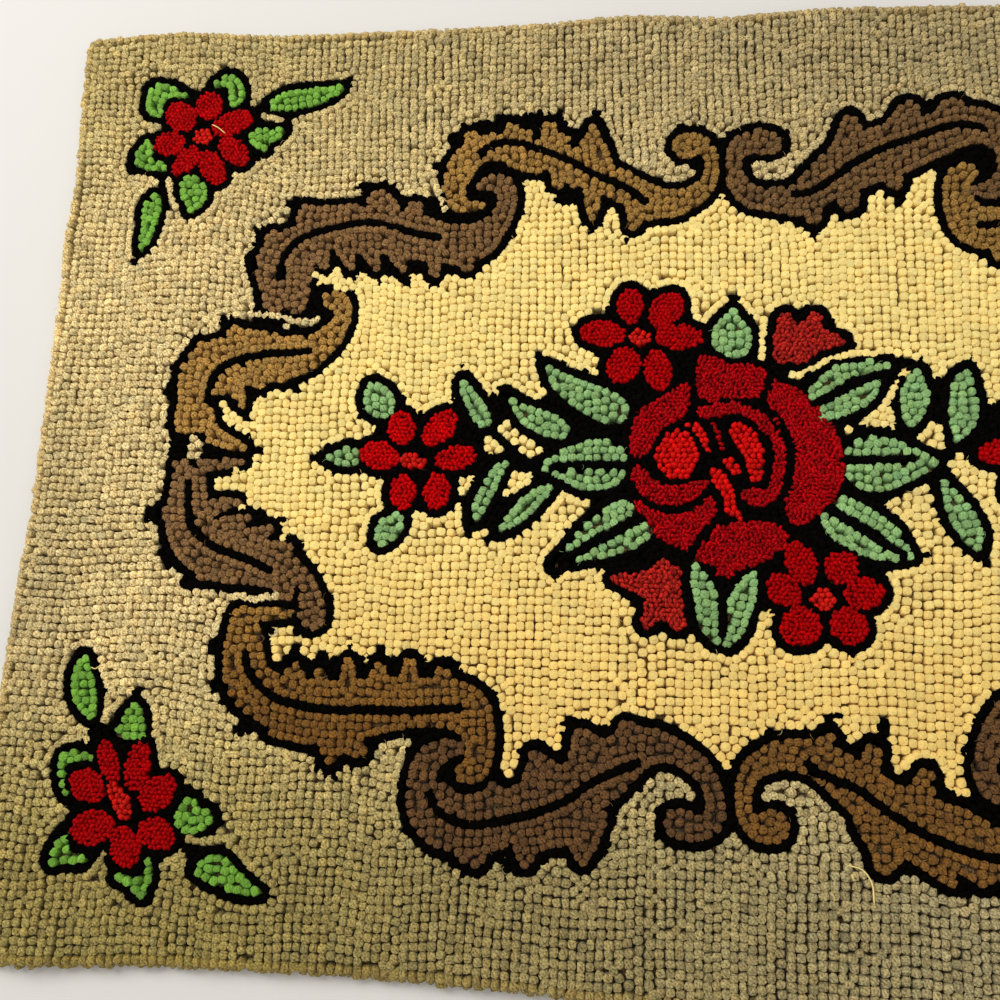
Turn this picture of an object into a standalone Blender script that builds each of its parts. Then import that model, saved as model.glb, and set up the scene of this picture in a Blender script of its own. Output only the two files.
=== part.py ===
"""A hooked rug, lying flat: a burlap foundation with its hem turned under, and the yarn pile hooked through it.

Metres, +Z up. The origin is on the floor, under the middle of the rug. +X runs along the rug, +Y across it.
"""

import math

import bmesh
import bpy

MM = 0.001

# The rug's own size, and how far its corners are rounded
HALF_LENGTH = 442.0 * MM
HALF_WIDTH = 304.0 * MM
CORNER_RADIUS = 9.0 * MM

# Thicknesses, from the floor up
FOUNDATION = 2.0 * MM
HEM_RISE = 1.0 * MM
HEM_WIDTH = 26.0 * MM
HEM_STEP = 8.0 * MM
CLEARANCE = 0.3 * MM
PILE = 6.7 * MM

# The foundation stops short of the outermost loops, which lean out over it
FOUNDATION_INSET = 2.5 * MM

# The pile's rounded rim, as rows of the distance in from the edge and the share of the full height there
RIM = (
    (0.0 * MM, 0.45),
    (1.6 * MM, 0.80),
    (5.0 * MM, 1.00),
)

# Grid lines near each edge, as distances in from it, and how many even steps fill the middle
EDGE_LINES = tuple(inset for inset, share in RIM) + (9.0 * MM, HEM_WIDTH, HEM_WIDTH + HEM_STEP)
STEPS_ALONG = 22
STEPS_ACROSS = 14

# How the hand-made edges wander, as rows of the place along the edge and the distance out from a
# straight line, both in millimetres
WANDER = {
    "top": (
        (-442, 3.5), (-375, 5.5), (-315, 0.0), (-200, 0.0), (-120, 1.0), (-65, 5.5), (0, 0.5),
        (65, 4.5), (140, 2.5), (240, -0.5), (330, 2.0), (400, 4.0), (442, 1.0),
    ),
    "bottom": (
        (-442, -1.0), (-395, 2.0), (-340, -3.5), (-220, -4.0), (-130, -1.5), (-60, 2.5), (20, 3.0),
        (120, 0.5), (220, 2.5), (310, -1.0), (380, 1.5), (442, 0.0),
    ),
    "left": (
        (-304, 1.0), (-150, -2.0), (-85, -3.0), (-35, -6.0), (45, -5.5), (100, -5.5), (155, -3.0),
        (205, -6.5), (250, -2.5), (304, -1.0),
    ),
    "right": (
        (-304, -1.0), (-230, 2.0), (-140, -2.5), (-40, 0.5), (60, -2.5), (170, 1.5), (250, -1.5),
        (304, 0.5),
    ),
}

# Where the edge stands a little off the floor, as rows of the side, the middle of the lifted stretch
# along it, how far it reaches to each hand, and how high it stands, in millimetres
LIFTS = (
    ("bottom", -400, 34, 3.0),
    ("bottom", -105, 60, 3.5),
    ("bottom", 210, 50, 2.0),
    ("top", -350, 50, 2.0),
    ("right", 120, 45, 2.5),
)
LIFT_DEPTH = 30.0 * MM

COLOURS = {
    "burlap": (0.42, 0.30, 0.16, 1.0),
    "yarn": (0.42, 0.35, 0.19, 1.0),
}
ROUGHNESS = 0.95

# Edges sharper than this stay sharp when the faces are shaded smooth
SHARP_ANGLE = math.radians(40)

# Grid points are matched between the lower and upper face after rounding to this many digits
MATCH_DIGITS = 6


def clear_scene():
    for thing in list(bpy.data.objects):
        bpy.data.objects.remove(thing, do_unlink=True)


def smooth(t):
    """0 below 0, 1 above 1, and an even S between."""
    t = min(1.0, max(0.0, t))
    return t * t * (3.0 - 2.0 * t)


def wander(side, along):
    """How far out of straight this side runs, at a place along it."""
    rows = WANDER[side]
    place = along / MM
    if place <= rows[0][0]:
        return rows[0][1] * MM
    for (start, out_start), (end, out_end) in zip(rows, rows[1:]):
        if place <= end:
            return (out_start + (out_end - out_start) * smooth((place - start) / (end - start))) * MM
    return rows[-1][1] * MM


def round_corner(x, y):
    """Draws a point of a corner's square onto the same corner with a round end."""
    over_x = abs(x) - (HALF_LENGTH - CORNER_RADIUS)
    over_y = abs(y) - (HALF_WIDTH - CORNER_RADIUS)
    if over_x <= 0 or over_y <= 0:
        return x, y
    pull = max(over_x, over_y) / math.hypot(over_x, over_y)
    new_x = HALF_LENGTH - CORNER_RADIUS + over_x * pull
    new_y = HALF_WIDTH - CORNER_RADIUS + over_y * pull
    return math.copysign(new_x, x), math.copysign(new_y, y)


def lay_out(x, y):
    """Takes a point of the straight rectangle to its place on the uneven rug."""
    side_x = "left" if x < 0 else "right"
    side_y = "bottom" if y < 0 else "top"
    round_x, round_y = round_corner(x, y)
    out_x = wander(side_x, y) * x / HALF_LENGTH
    out_y = wander(side_y, x) * y / HALF_WIDTH
    return round_x + out_x, round_y + out_y


def inset_of(x, y):
    """Distance in from the nearest straight edge."""
    return min(HALF_LENGTH - abs(x), HALF_WIDTH - abs(y))


def lift(x, y):
    """How far the rug stands off the floor here."""
    sides = {
        "bottom": (HALF_WIDTH + y, x),
        "top": (HALF_WIDTH - y, x),
        "left": (HALF_LENGTH + x, y),
        "right": (HALF_LENGTH - x, y),
    }
    height = 0.0
    for side, middle, reach, rise in LIFTS:
        depth, along = sides[side]
        inward = 1.0 - smooth(depth / LIFT_DEPTH)
        sideways = 1.0 - smooth(abs(along - middle * MM) / (reach * MM))
        height += rise * MM * inward * sideways
    return height


def foundation_top(x, y):
    """The height of the burlap's upper face, which the turned-under hem raises near the edge."""
    hem = 1.0 - smooth((inset_of(x, y) - HEM_WIDTH) / HEM_STEP)
    return FOUNDATION + HEM_RISE * hem


def pile_share(inset):
    """How much of the full pile height stands at this distance in from the edge."""
    for (start, low), (end, high) in zip(RIM, RIM[1:]):
        if inset <= end:
            return low + (high - low) * (inset - start) / (end - start)
    return RIM[-1][1]


def grid_lines(half, steps, start):
    """Places of the grid lines across the rug: close near both edges, from start inwards, and even between."""
    near = [half - start] + [half - inset for inset in EDGE_LINES if inset > start]
    inner = near[-1]
    middle = [inner * (2.0 * i / steps - 1.0) for i in range(1, steps)]
    return [-place for place in near] + middle + near[::-1]


def material(name):
    made = bpy.data.materials.new(name)
    made.use_nodes = True
    shader = made.node_tree.nodes["Principled BSDF"]
    shader.inputs["Base Color"].default_value = COLOURS[name]
    shader.inputs["Roughness"].default_value = ROUGHNESS
    shader.inputs["Metallic"].default_value = 0.0
    return made


def grid_place(vert):
    """Where a point lies on the flat grid, the same for its lower and upper copy."""
    return round(vert.co.x, MATCH_DIGITS), round(vert.co.y, MATCH_DIGITS)


def layer(name, inset, low, high, finish):
    """One closed layer of the rug, between the heights low(x, y) and high(x, y)."""
    lines_x = grid_lines(HALF_LENGTH, STEPS_ALONG, inset)
    lines_y = grid_lines(HALF_WIDTH, STEPS_ACROSS, inset)

    shape = bmesh.new()
    bmesh.ops.create_grid(shape, x_segments=len(lines_x) - 1, y_segments=len(lines_y) - 1, size=1.0)
    flat = {}
    for vert in shape.verts:
        column = round((vert.co.x + 1.0) / 2.0 * (len(lines_x) - 1))
        row = round((vert.co.y + 1.0) / 2.0 * (len(lines_y) - 1))
        flat[vert] = (lines_x[column], lines_y[row])
    under = list(shape.verts)
    places = [flat[vert] for vert in under]

    grown = bmesh.ops.extrude_face_region(shape, geom=shape.faces[:])
    over = [part for part in grown["geom"] if isinstance(part, bmesh.types.BMVert)]
    partner = {grid_place(vert): vert for vert in over}
    pairs = [(vert, partner[grid_place(vert)]) for vert in under]
    for (lower, upper), (x, y) in zip(pairs, places):
        out_x, out_y = lay_out(x, y)
        stand = lift(x, y)
        lower.co = (out_x, out_y, low(x, y) + stand)
        upper.co = (out_x, out_y, high(x, y) + stand)

    bmesh.ops.recalc_face_normals(shape, faces=shape.faces[:])
    mesh = bpy.data.meshes.new(name)
    shape.to_mesh(mesh)
    shape.free()
    mesh.materials.append(finish)
    mesh.shade_smooth()
    mesh.set_sharp_from_angle(angle=SHARP_ANGLE)
    made = bpy.data.objects.new(name, mesh)
    bpy.context.scene.collection.objects.link(made)
    return made


def build_foundation():
    """The burlap cloth, with its hem turned under, as one sheet."""
    return layer("foundation", FOUNDATION_INSET, lambda x, y: 0.0, foundation_top, material("burlap"))


def build_pile():
    """The hooked loops as one low slab with a rounded rim."""

    def low(x, y):
        return foundation_top(x, y) + CLEARANCE

    def high(x, y):
        return low(x, y) + PILE * pile_share(inset_of(x, y))

    return layer("hooked_pile", 0.0, low, high, material("yarn"))


def main():
    clear_scene()
    build_foundation()
    build_pile()


main()
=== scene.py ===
import math
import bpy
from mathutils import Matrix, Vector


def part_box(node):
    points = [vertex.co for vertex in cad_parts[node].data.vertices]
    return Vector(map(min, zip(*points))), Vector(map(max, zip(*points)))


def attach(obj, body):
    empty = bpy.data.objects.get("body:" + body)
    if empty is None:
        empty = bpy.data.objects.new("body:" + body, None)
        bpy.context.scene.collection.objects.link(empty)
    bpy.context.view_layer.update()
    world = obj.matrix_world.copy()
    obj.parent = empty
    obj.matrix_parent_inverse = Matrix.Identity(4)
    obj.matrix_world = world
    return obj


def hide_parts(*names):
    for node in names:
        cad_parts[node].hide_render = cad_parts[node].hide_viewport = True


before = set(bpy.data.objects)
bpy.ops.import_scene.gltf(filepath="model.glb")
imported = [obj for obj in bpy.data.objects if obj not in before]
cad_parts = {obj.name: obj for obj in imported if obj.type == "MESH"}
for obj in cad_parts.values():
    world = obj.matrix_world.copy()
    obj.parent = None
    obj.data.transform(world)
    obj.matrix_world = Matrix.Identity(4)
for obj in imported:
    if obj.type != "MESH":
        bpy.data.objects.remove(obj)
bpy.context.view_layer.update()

from types import SimpleNamespace

import bpy
import numpy as np
from mathutils import Vector
from mathutils.bvhtree import BVHTree
from mathutils.kdtree import KDTree

MM = 0.001
rng = np.random.default_rng(11)

# The pattern is drawn in millimetres from the rug's middle, with x along the rug and y across it.
# A stroke is rows of x, y and half-width, and strokes of one colour run together into a shape. The line
# down a leaf's middle is rows of x and y.

# The three scroll leaves of the top left quarter
LEAF_TOP = (
    ((-156, 172, 3.5), (-164, 171, 4), (-171, 175, 6.5), (-173, 186, 7.5), (-170, 198, 10), (-162, 209, 10),
     (-150, 213, 9.5), (-132, 211, 9.5), (-114, 206, 10), (-97, 200, 12), (-81, 191, 12), (-65, 183, 11),
     (-50, 175, 10.5), (-36, 170, 10.5), (-22, 173.5, 8), (-11, 182, 6), (-7.5, 194, 5), (-9, 206, 5),
     (-16, 212, 7), (-23, 210.5, 9.5)),
    ((-160, 214, 8), (-164, 221, 5)),
    ((-156, 216, 8), (-151, 220, 4)),
    ((-137, 216, 8), (-137, 228, 4.5)),
    ((-134, 216, 8), (-128, 222, 5)),
    ((-111, 212, 8), (-112, 227, 5)),
    ((-109, 212, 10), (-103, 218, 5)),
    ((-87, 206, 10), (-84, 217, 6), (-83, 227, 3)),
    ((-79, 200, 9), (-79, 212, 5)),
    ((-134, 206, 8), (-120, 202, 9)),
    ((-106, 198, 6), (-105, 187, 4.5)),
    ((-98, 196, 6), (-95, 187.5, 5)),
    ((-83, 184, 6), (-83, 172, 5.5), (-83, 162, 3)),
    ((-57, 174, 6), (-55, 163, 6), (-57, 155, 3.5)),
    ((-45, 170, 8), (-46, 163, 5)),
)
LEAF_TOP_VEIN = ((-157, 210), (-148, 215.5), (-138, 217), (-124, 213.5), (-110, 207.5), (-96, 201),
                 (-84, 193), (-72, 187.5), (-60, 181), (-50, 172))
LEAF_SHOULDER = (
    ((-288, 106, 8), (-290, 120, 10.5), (-293, 132, 11), (-289, 145, 10)),
    ((-274, 105, 8), (-273, 124, 8.5), (-272, 140, 10)),
    ((-285, 140, 12), (-268, 152, 13), (-250, 155, 13.5), (-230, 152, 14.5), (-210, 151, 14.5),
     (-190, 147, 14), (-170, 144.5, 14.5), (-158, 146, 13), (-147, 155, 9.5), (-140, 167, 7),
     (-138, 177, 6.5), (-142, 186, 7), (-149, 188, 6), (-157, 185, 2.5)),
    ((-296, 131, 10), (-299, 134, 6.5)),
    ((-290, 148, 7), (-293, 151, 6)),
    ((-283, 150, 8), (-279, 151, 7)),
    ((-270, 163, 8), (-271, 168, 7.5)),
    ((-270, 165, 9), (-240, 165, 10)),
    ((-222, 165, 10), (-223, 176, 9)),
    ((-216, 165, 10), (-216, 173, 6)),
    ((-203, 160, 9), (-199, 170, 6)),
    ((-192, 155, 10), (-182, 152, 9)),
    ((-261, 141, 8), (-257, 131, 3)),
    ((-243, 141, 7), (-239, 129, 2.5)),
    ((-226, 141, 7), (-222, 128, 2.5)),
    ((-209, 141, 8), (-205, 128, 3)),
    ((-184, 138, 6), (-184, 125, 3.5)),
    ((-168, 138, 8), (-163, 130, 5)),
)
LEAF_SHOULDER_VEIN = ((-287, 123), (-284, 139), (-277, 148), (-264, 154.5), (-248, 158.5), (-231, 161),
                      (-214, 158.5), (-201, 153.5), (-183, 149.5))
LEAF_END = (
    ((-341, 22, 6), (-336, 29, 12), (-336, 40, 10.5), (-337, 52, 11.5), (-331, 62, 14), (-316, 67, 15),
     (-300, 67, 16), (-283, 66.5, 15.5), (-268, 69, 13), (-256, 75, 10), (-248, 83, 8), (-242, 94, 5.5),
     (-244, 104, 6.5), (-250, 107, 7)),
    ((-332, 71, 7), (-333, 74, 5)),
    ((-325, 72, 7), (-322, 75, 5)),
    ((-331, 70, 8), (-335, 75, 4)),
    ((-310, 78, 9), (-313, 84, 6)),
    ((-305, 76, 11), (-290, 77, 9)),
    ((-324, 17, 7), (-312, 11, 5), (-301, 7.5, 3)),
    ((-325, 29, 4.5), (-325, 20, 4.5)),
    ((-312, 52, 7), (-307, 43, 5), (-303, 34, 1.5)),
    ((-322, 46, 4.5), (-316, 47, 3.5)),
    ((-300, 56, 8), (-293, 50, 4)),
    ((-283, 58, 8), (-278, 53, 3.5)),
    ((-266, 64, 7), (-261, 62, 4)),
)
LEAF_END_VEIN = ((-327, 39), (-326, 48), (-323, 57), (-315, 63.5), (-304, 67.5), (-292, 69.5), (-278, 70.5),
                 (-263, 72))

# The three of the bottom left quarter
LOW_TOP = (
    ((-152, -174, 3.5), (-163, -175, 6.5), (-172, -181, 8), (-175, -192, 8.5), (-174, -206, 10),
     (-166, -216, 12), (-152, -219, 13.5), (-135, -216, 14.5), (-118, -209, 15.5), (-102, -203, 17),
     (-88, -196, 17), (-72, -187, 15), (-58, -174, 13.5), (-45, -169.5, 10.5), (-30, -171.5, 7.5),
     (-16, -181, 6.2), (-8.5, -195, 5.5), (-9, -208, 6.5), (-18, -213, 7.5), (-28, -211, 9)),
    ((-142, -226, 9), (-142, -234, 6)),
    ((-148, -224, 9), (-149, -232, 5)),
    ((-113, -222, 10), (-114, -234, 5)),
    ((-86, -212, 12), (-82, -226, 7)),
    ((-82, -222, 8), (-82, -232, 4)),
    ((-76, -210, 8), (-78, -224, 5)),
    ((-110, -190, 7), (-109.5, -176, 4)),
    ((-108, -178, 4), (-98, -186, 6)),
    ((-83, -182, 8), (-83, -166.5, 6.5)),
    ((-80, -168, 6), (-70, -175, 8)),
    ((-60, -172, 9), (-57, -161, 6)),
    ((-54, -163, 6), (-42, -167, 8)),
    ((-133, -200, 9), (-134, -196, 4)),
    ((-163, -198, 5), (-155, -204, 5), (-146, -206, 6), (-137, -203, 6)),
    ((-108, -222, 7), (-92, -218, 8)),
)
LOW_TOP_VEIN = ((-171, -201), (-165, -209), (-154, -215), (-140, -216), (-124, -212.5), (-108, -208),
                (-92, -201), (-78, -191), (-64, -184), (-52, -179))
LOW_SHOULDER = (
    ((-290, -101, 8), (-289, -112, 11.5), (-288, -126, 13), (-283, -140, 14.5), (-268, -149, 15.5),
     (-248, -154, 17), (-228, -155, 18.5), (-208, -152, 17), (-188, -149, 15), (-168, -148, 14.5),
     (-152, -151, 14), (-144, -163, 10.5), (-142, -175, 8.5), (-145, -185, 8.5), (-152, -188, 5)),
    ((-285, -99, 5), (-262, -97, 3.5)),
    ((-229, -168, 12), (-230, -181, 5)),
    ((-222, -168, 12), (-214, -176, 6)),
    ((-262, -160, 12), (-245, -163, 12)),
    ((-256, -138, 8), (-256, -129, 3.5)),
    ((-240, -140, 7), (-240, -132, 3.5)),
    ((-223, -140, 7), (-223, -127, 3.5)),
    ((-204, -138, 8), (-204, -128, 3.5)),
    ((-186, -136, 7), (-186, -126, 4)),
    ((-165, -138, 8), (-166, -131, 5)),
)
LOW_SHOULDER_VEIN = ((-287, -122), (-285, -131), (-279, -139.5), (-267, -148), (-252, -152), (-232, -154.5),
                     (-211, -153.5), (-191, -153.5), (-174, -152.5), (-155, -151))
LOW_END = (
    ((-334, -12, 11), (-333, -24, 12.5), (-332, -38, 15), (-325, -52, 16.5), (-308, -62, 17),
     (-288, -65, 15.5), (-270, -71, 13), (-257, -82, 11), (-249, -94, 9.5), (-247, -99.5, 8)),
    ((-345, -36, 6), (-348.5, -36, 3.6)),
    ((-342, -5, 4), (-324, -5, 4.5)),
    ((-322, -5, 4.5), (-310, -3.5, 3.2), (-300, -2.5, 2)),
    ((-314, -31, 6), (-302, -28.5, 3)),
    ((-305, -44, 8), (-294, -39, 3.5)),
    ((-290, -52, 8), (-279, -46, 3.5)),
    ((-274, -60, 8), (-266, -57, 4)),
    ((-318, -70, 8), (-318, -73, 6)),
)
LOW_END_VEIN = ((-334, -16), (-333, -26), (-332, -35), (-329, -44), (-322, -51), (-311, -58), (-299, -62),
                (-288, -65.5), (-277, -71))

# The long leaf at the top right
RIGHT_TOP = (
    ((152, 174, 3.5), (163, 175, 6.5), (172, 181, 8), (176, 192, 8.5), (175, 206, 10), (167, 216, 12),
     (152, 220, 13.5), (135, 215, 15), (118, 209, 17), (102, 203, 19), (88, 198, 18.5), (74, 191, 17),
     (60, 181, 13.5), (46, 171, 11), (30, 171.5, 9), (17, 174, 8), (8, 185, 6.3), (7, 199, 5.3),
     (10, 208, 7), (20, 212, 9), (29, 211, 8.5)),
    ((78, 198, 14), (79, 210, 10), (79.5, 220, 7), (79.5, 226, 4.5)),
    ((112, 218, 12), (116, 231, 7.5)),
    ((140, 222, 13), (143, 230, 9.5)),
    ((54, 172, 8), (55, 160, 5.5), (55.5, 156, 3.5)),
    ((77, 175, 8), (77, 168, 6.5)),
    ((100, 190, 8), (106, 181, 5)),
)
RIGHT_TOP_VEIN = ((44, 174.5), (54, 176.5), (66, 184), (80, 194.5), (98, 205), (118, 212), (136, 218.5),
                  (150, 220.5), (161, 217))

# The long leaf at the bottom right
RIGHT_LOW = (
    ((156, -172, 3.5), (164, -171, 4), (171, -175, 6.5), (173, -186, 7.5), (171, -198, 9), (163, -210, 10),
     (151, -217, 11), (138, -220, 15), (122, -213, 16.5), (106, -208, 16.5), (92, -203, 16),
     (78, -194, 14.5), (64, -183, 12.5), (50, -174, 10.5), (36, -171, 9), (22, -173.5, 8), (11, -182, 6),
     (7.5, -194, 5), (9, -206, 5), (16, -212, 7), (23, -210.5, 9.5)),
    ((52, -170, 9), (54.5, -162.5, 4.8)),
    ((75, -182, 7), (79, -167, 4.7)),
    ((73, -178, 4), (76, -173, 3.6)),
    ((104, -188, 8), (106.5, -181, 5.3)),
    ((124, -205, 8), (125, -200.5, 5)),
    ((76, -206, 9), (84, -220, 9), (82, -228, 5.5)),
    ((100, -218, 9), (114, -230, 6), (116.5, -235, 3.5)),
    ((130, -226, 10), (134, -231, 7)),
)
RIGHT_LOW_VEIN = ((43, -176), (49, -181), (60, -185), (70.5, -189), (80.5, -196.5), (89, -202.5),
                  (105, -211.5), (121, -217.5), (138, -222), (150, -220))

# Each leaf's strokes, the line down its middle, its yarn, and the ways in which it stands: 1 is as drawn
# and -1 is turned half round the rug
LEAVES = (
    (LEAF_TOP, LEAF_TOP_VEIN, "caramel", (1,)),
    (RIGHT_LOW, RIGHT_LOW_VEIN, "caramel", (1,)),
    (LEAF_SHOULDER, LEAF_SHOULDER_VEIN, "taupe", (1, -1)),
    (LEAF_END, LEAF_END_VEIN, "caramel", (1, -1)),
    (LOW_TOP, LOW_TOP_VEIN, "taupe", (1,)),
    (RIGHT_TOP, RIGHT_TOP_VEIN, "taupe", (1,)),
    (LOW_SHOULDER, LOW_SHOULDER_VEIN, "caramel", (1, -1)),
    (LOW_END, LOW_END_VEIN, "taupe", (1, -1)),
)

# Black strokes that fill out the corners and notches of the leaves' outlines, both ways
LEAF_CORNERS = (
    ((-303, 156, 2.3), (-304, 144, 2.3)),
    ((-284, 176, 2.2), (-279, 178, 2.2)),
    ((-308, 139, 2.2), (-309, 133, 2.2)),
    ((-236, 186, 2.2), (-232, 188, 2.2)),
    ((-218, 189, 2.2), (-214, 185, 2.2)),
    ((-299, 98, 2.2), (-290, 96, 2.2)),
    ((-268, 96, 2.2), (-262, 99, 2.2)),
    ((-343, 80, 2.2), (-338, 83, 2.2)),
    ((-321, 92, 2.2), (-316, 94, 2.2)),
    ((-353, 51, 2.6), (-353, 42, 2)),
    ((-266, 55, 3), (-261, 55.5, 2.6)),
    ((-286, 47, 3), (-275, 48, 2.8)),
    ((-301, 44, 2.8), (-295, 44, 2.4)),
    ((-345, -2, 4), (-344, 13, 4)),
    ((-358, -36, 2.3), (-356, -41, 2.2)),
    ((-346, -61, 2.3), (-338, -69, 2.3)),
    ((-330, -80, 2.3), (-326, -82, 2.2)),
    ((-292, -33, 3), (-300, -34, 2.5)),
    ((-279, -42, 2.4), (-286, -43, 2.4)),
    ((-263, -51, 2.6), (-258, -56, 2.6)),
    ((-306, -141, 2.3), (-303, -144, 2.3)),
    ((-307, -116, 2.2), (-307, -121, 2.2)),
    ((-108, -180, 2.4), (-108, -171, 2.4)),
    ((-288, -165, 2.3), (-284, -168, 2.3)),
    ((-236, -188, 2.3), (-228, -191, 2.3)),
)

# The same where they stand once only
LONE_CORNERS = (
    ((-168, 229, 2.3), (-155, 231, 2.3)),
    ((-145, 234, 2.3), (-127, 235, 2.3)),
    ((-119, 236, 2.3), (-105, 236, 2.3)),
    ((-187, 203, 2.2), (-186, 198, 2.2)),
    ((-177, 221, 2.2), (-174, 223, 2.2)),
    ((-125, 193, 2.3), (-112, 192, 3.6)),
    ((-106, 175, 2.2), (-95, 172, 2.2)),
    ((55, -153.5, 3), (58.5, -150, 2.2)),
    ((85, -157, 2.5), (85, -153.5, 2.2)),
    ((-382, -161, 2.6), (-378, -171, 2.8), (-372, -179, 4)),
    ((-322, -233, 3), (-312, -236, 2.5), (-306, -238, 2)),
    ((-153, -239, 2.4), (-149, -242, 2.4)),
    ((-122, -239, 2.2), (-119, -241, 2.2)),
    ((-92, -157, 2.3), (-84, -156, 2.3)),
)

# The big rose, as the yarn and the stroke of each part
ROSE = (
    ("petal", ((-8, 57, 9.5), (-8, 46.5, 9.5))),
    ("petal", ((-10, 60, 6.5), (-13, 63, 4))),
    ("petal", ((0, 50, 11), (14, 50, 11), (23, 49, 8.5))),
    ("petal", ((-25, 44, 4.5), (-30, 35, 8.5), (-43, 27, 9), (-49, 17, 8), (-52, 7, 5.5))),
    ("petal", ((-53, -6, 3.5), (-49, -15, 6), (-38, -22, 6.5), (-26, -21, 6), (-14, -15, 3.5))),
    ("petal", ((-51, -24, 4.5), (-43, -37, 6), (-30, -43, 9.5), (-21, -49, 6.5))),
    ("petal", ((-24, -40, 8), (-14, -33, 6.5), (-10, -26, 4.5))),
    ("petal", ((-1, -48, 9), (14, -47, 10), (27, -47, 8.5))),
    ("petal", ((-13, -56, 6.5), (4, -56, 11), (19, -53, 9))),
    ("petal", ((1, -60, 9), (-1, -66, 6))),
    ("petal", ((31, 43, 7), (38, 34, 12), (48, 20, 14), (53, 4, 15), (53, -8, 15), (46, -23, 12),
               (41, -33, 6.5))),
    ("petal", ((-16, 30, 3), (-8, 31, 4.5), (4, 33, 3.5), (14, 30, 3.5), (24, 22, 4), (30, 12, 3.5),
               (31.5, 0, 3.5), (29.5, -12, 4), (26, -20, 4.5), (18, -23, 6), (12, -21, 3.5))),
    ("petal", ((-7, 23, 1.6), (-4, 14, 1.3), (-2, 5, 1.0))),
    ("bright", ((-29, 8, 11.5), (-29.5, 3, 13), (-29, -1, 11.5))),
    ("bright", ((-21, 23, 3.4), (-15, 16, 3), (-11, 7, 2))),
    ("bright", ((5, 20, 4.5), (12, 13, 7.5), (16, 4, 6.5), (17, -9, 4.5))),
    ("bright", ((1, -1, 3.5), (6, -6, 3.5))),
    ("bright", ((-8, -7, 3), (-3, -14, 4.5), (1, -21, 3.5), (2, -29, 4.5), (8, -35, 2))),
)

# The flowers' petals, as rows of x and y of the middle, length, width, and turn in degrees
PETALS = {
    "bouquet_top": ((-58, 100, 23, 16, 90), (-36, 97, 25, 19, 55), (-28, 79, 28, 16, 0),
                    (-41, 58, 26, 17, 100), (-62, 61, 23, 20, 60), (-75, 82, 27, 17, 175)),
    "bouquet_low": ((42, -62, 26, 17, 110), (65, -64, 18, 18, 60), (77, -79, 22, 18, 10),
                    (68, -98, 21, 20, 120), (41, -99, 22, 22, 40), (32, -78, 22, 17, 130)),
    "side_left": ((-199, 20, 21, 17, 100), (-175, 20, 26, 17, 50), (-164, 1, 25, 15, 12),
                  (-175, -20, 22, 16, 90), (-196, -21, 21, 16, 92), (-212, 2, 25, 17, -15)),
    "corner_top": ((-366, 243, 25, 20, 130), (-347, 251, 21, 18, 100), (-329, 237, 28, 17, 20),
                   (-326, 216, 27, 15, 135), (-340, 204, 28, 16, 120), (-359, 210, 24, 15, 55),
                   (-372, 223, 22, 17, 0)),
    "corner_low": ((-365, -189, 25, 12, 115), (-347, -191, 28, 15, 85), (-333, -206, 25, 18, 40),
                   (-331, -229, 23, 17, 155), (-349, -237, 23, 18, 115), (-371, -227, 27, 20, 5),
                   (-377, -203, 24, 18, 145)),
}
# The flowers' middles, as strokes
EYES = {
    "bouquet_top": ((-53, 79, 6), (-51, 79, 6)),
    "bouquet_low": ((53, -83, 6.5), (55, -83, 6.5)),
    "side_left": ((-194, -1, 5), (-187, -2, 5)),
    "corner_top": ((-350, 228, 6), (-348, 228, 6)),
    "corner_low": ((-361, -204, 4), (-355, -212, 6), (-351, -219, 4)),
}

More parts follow.
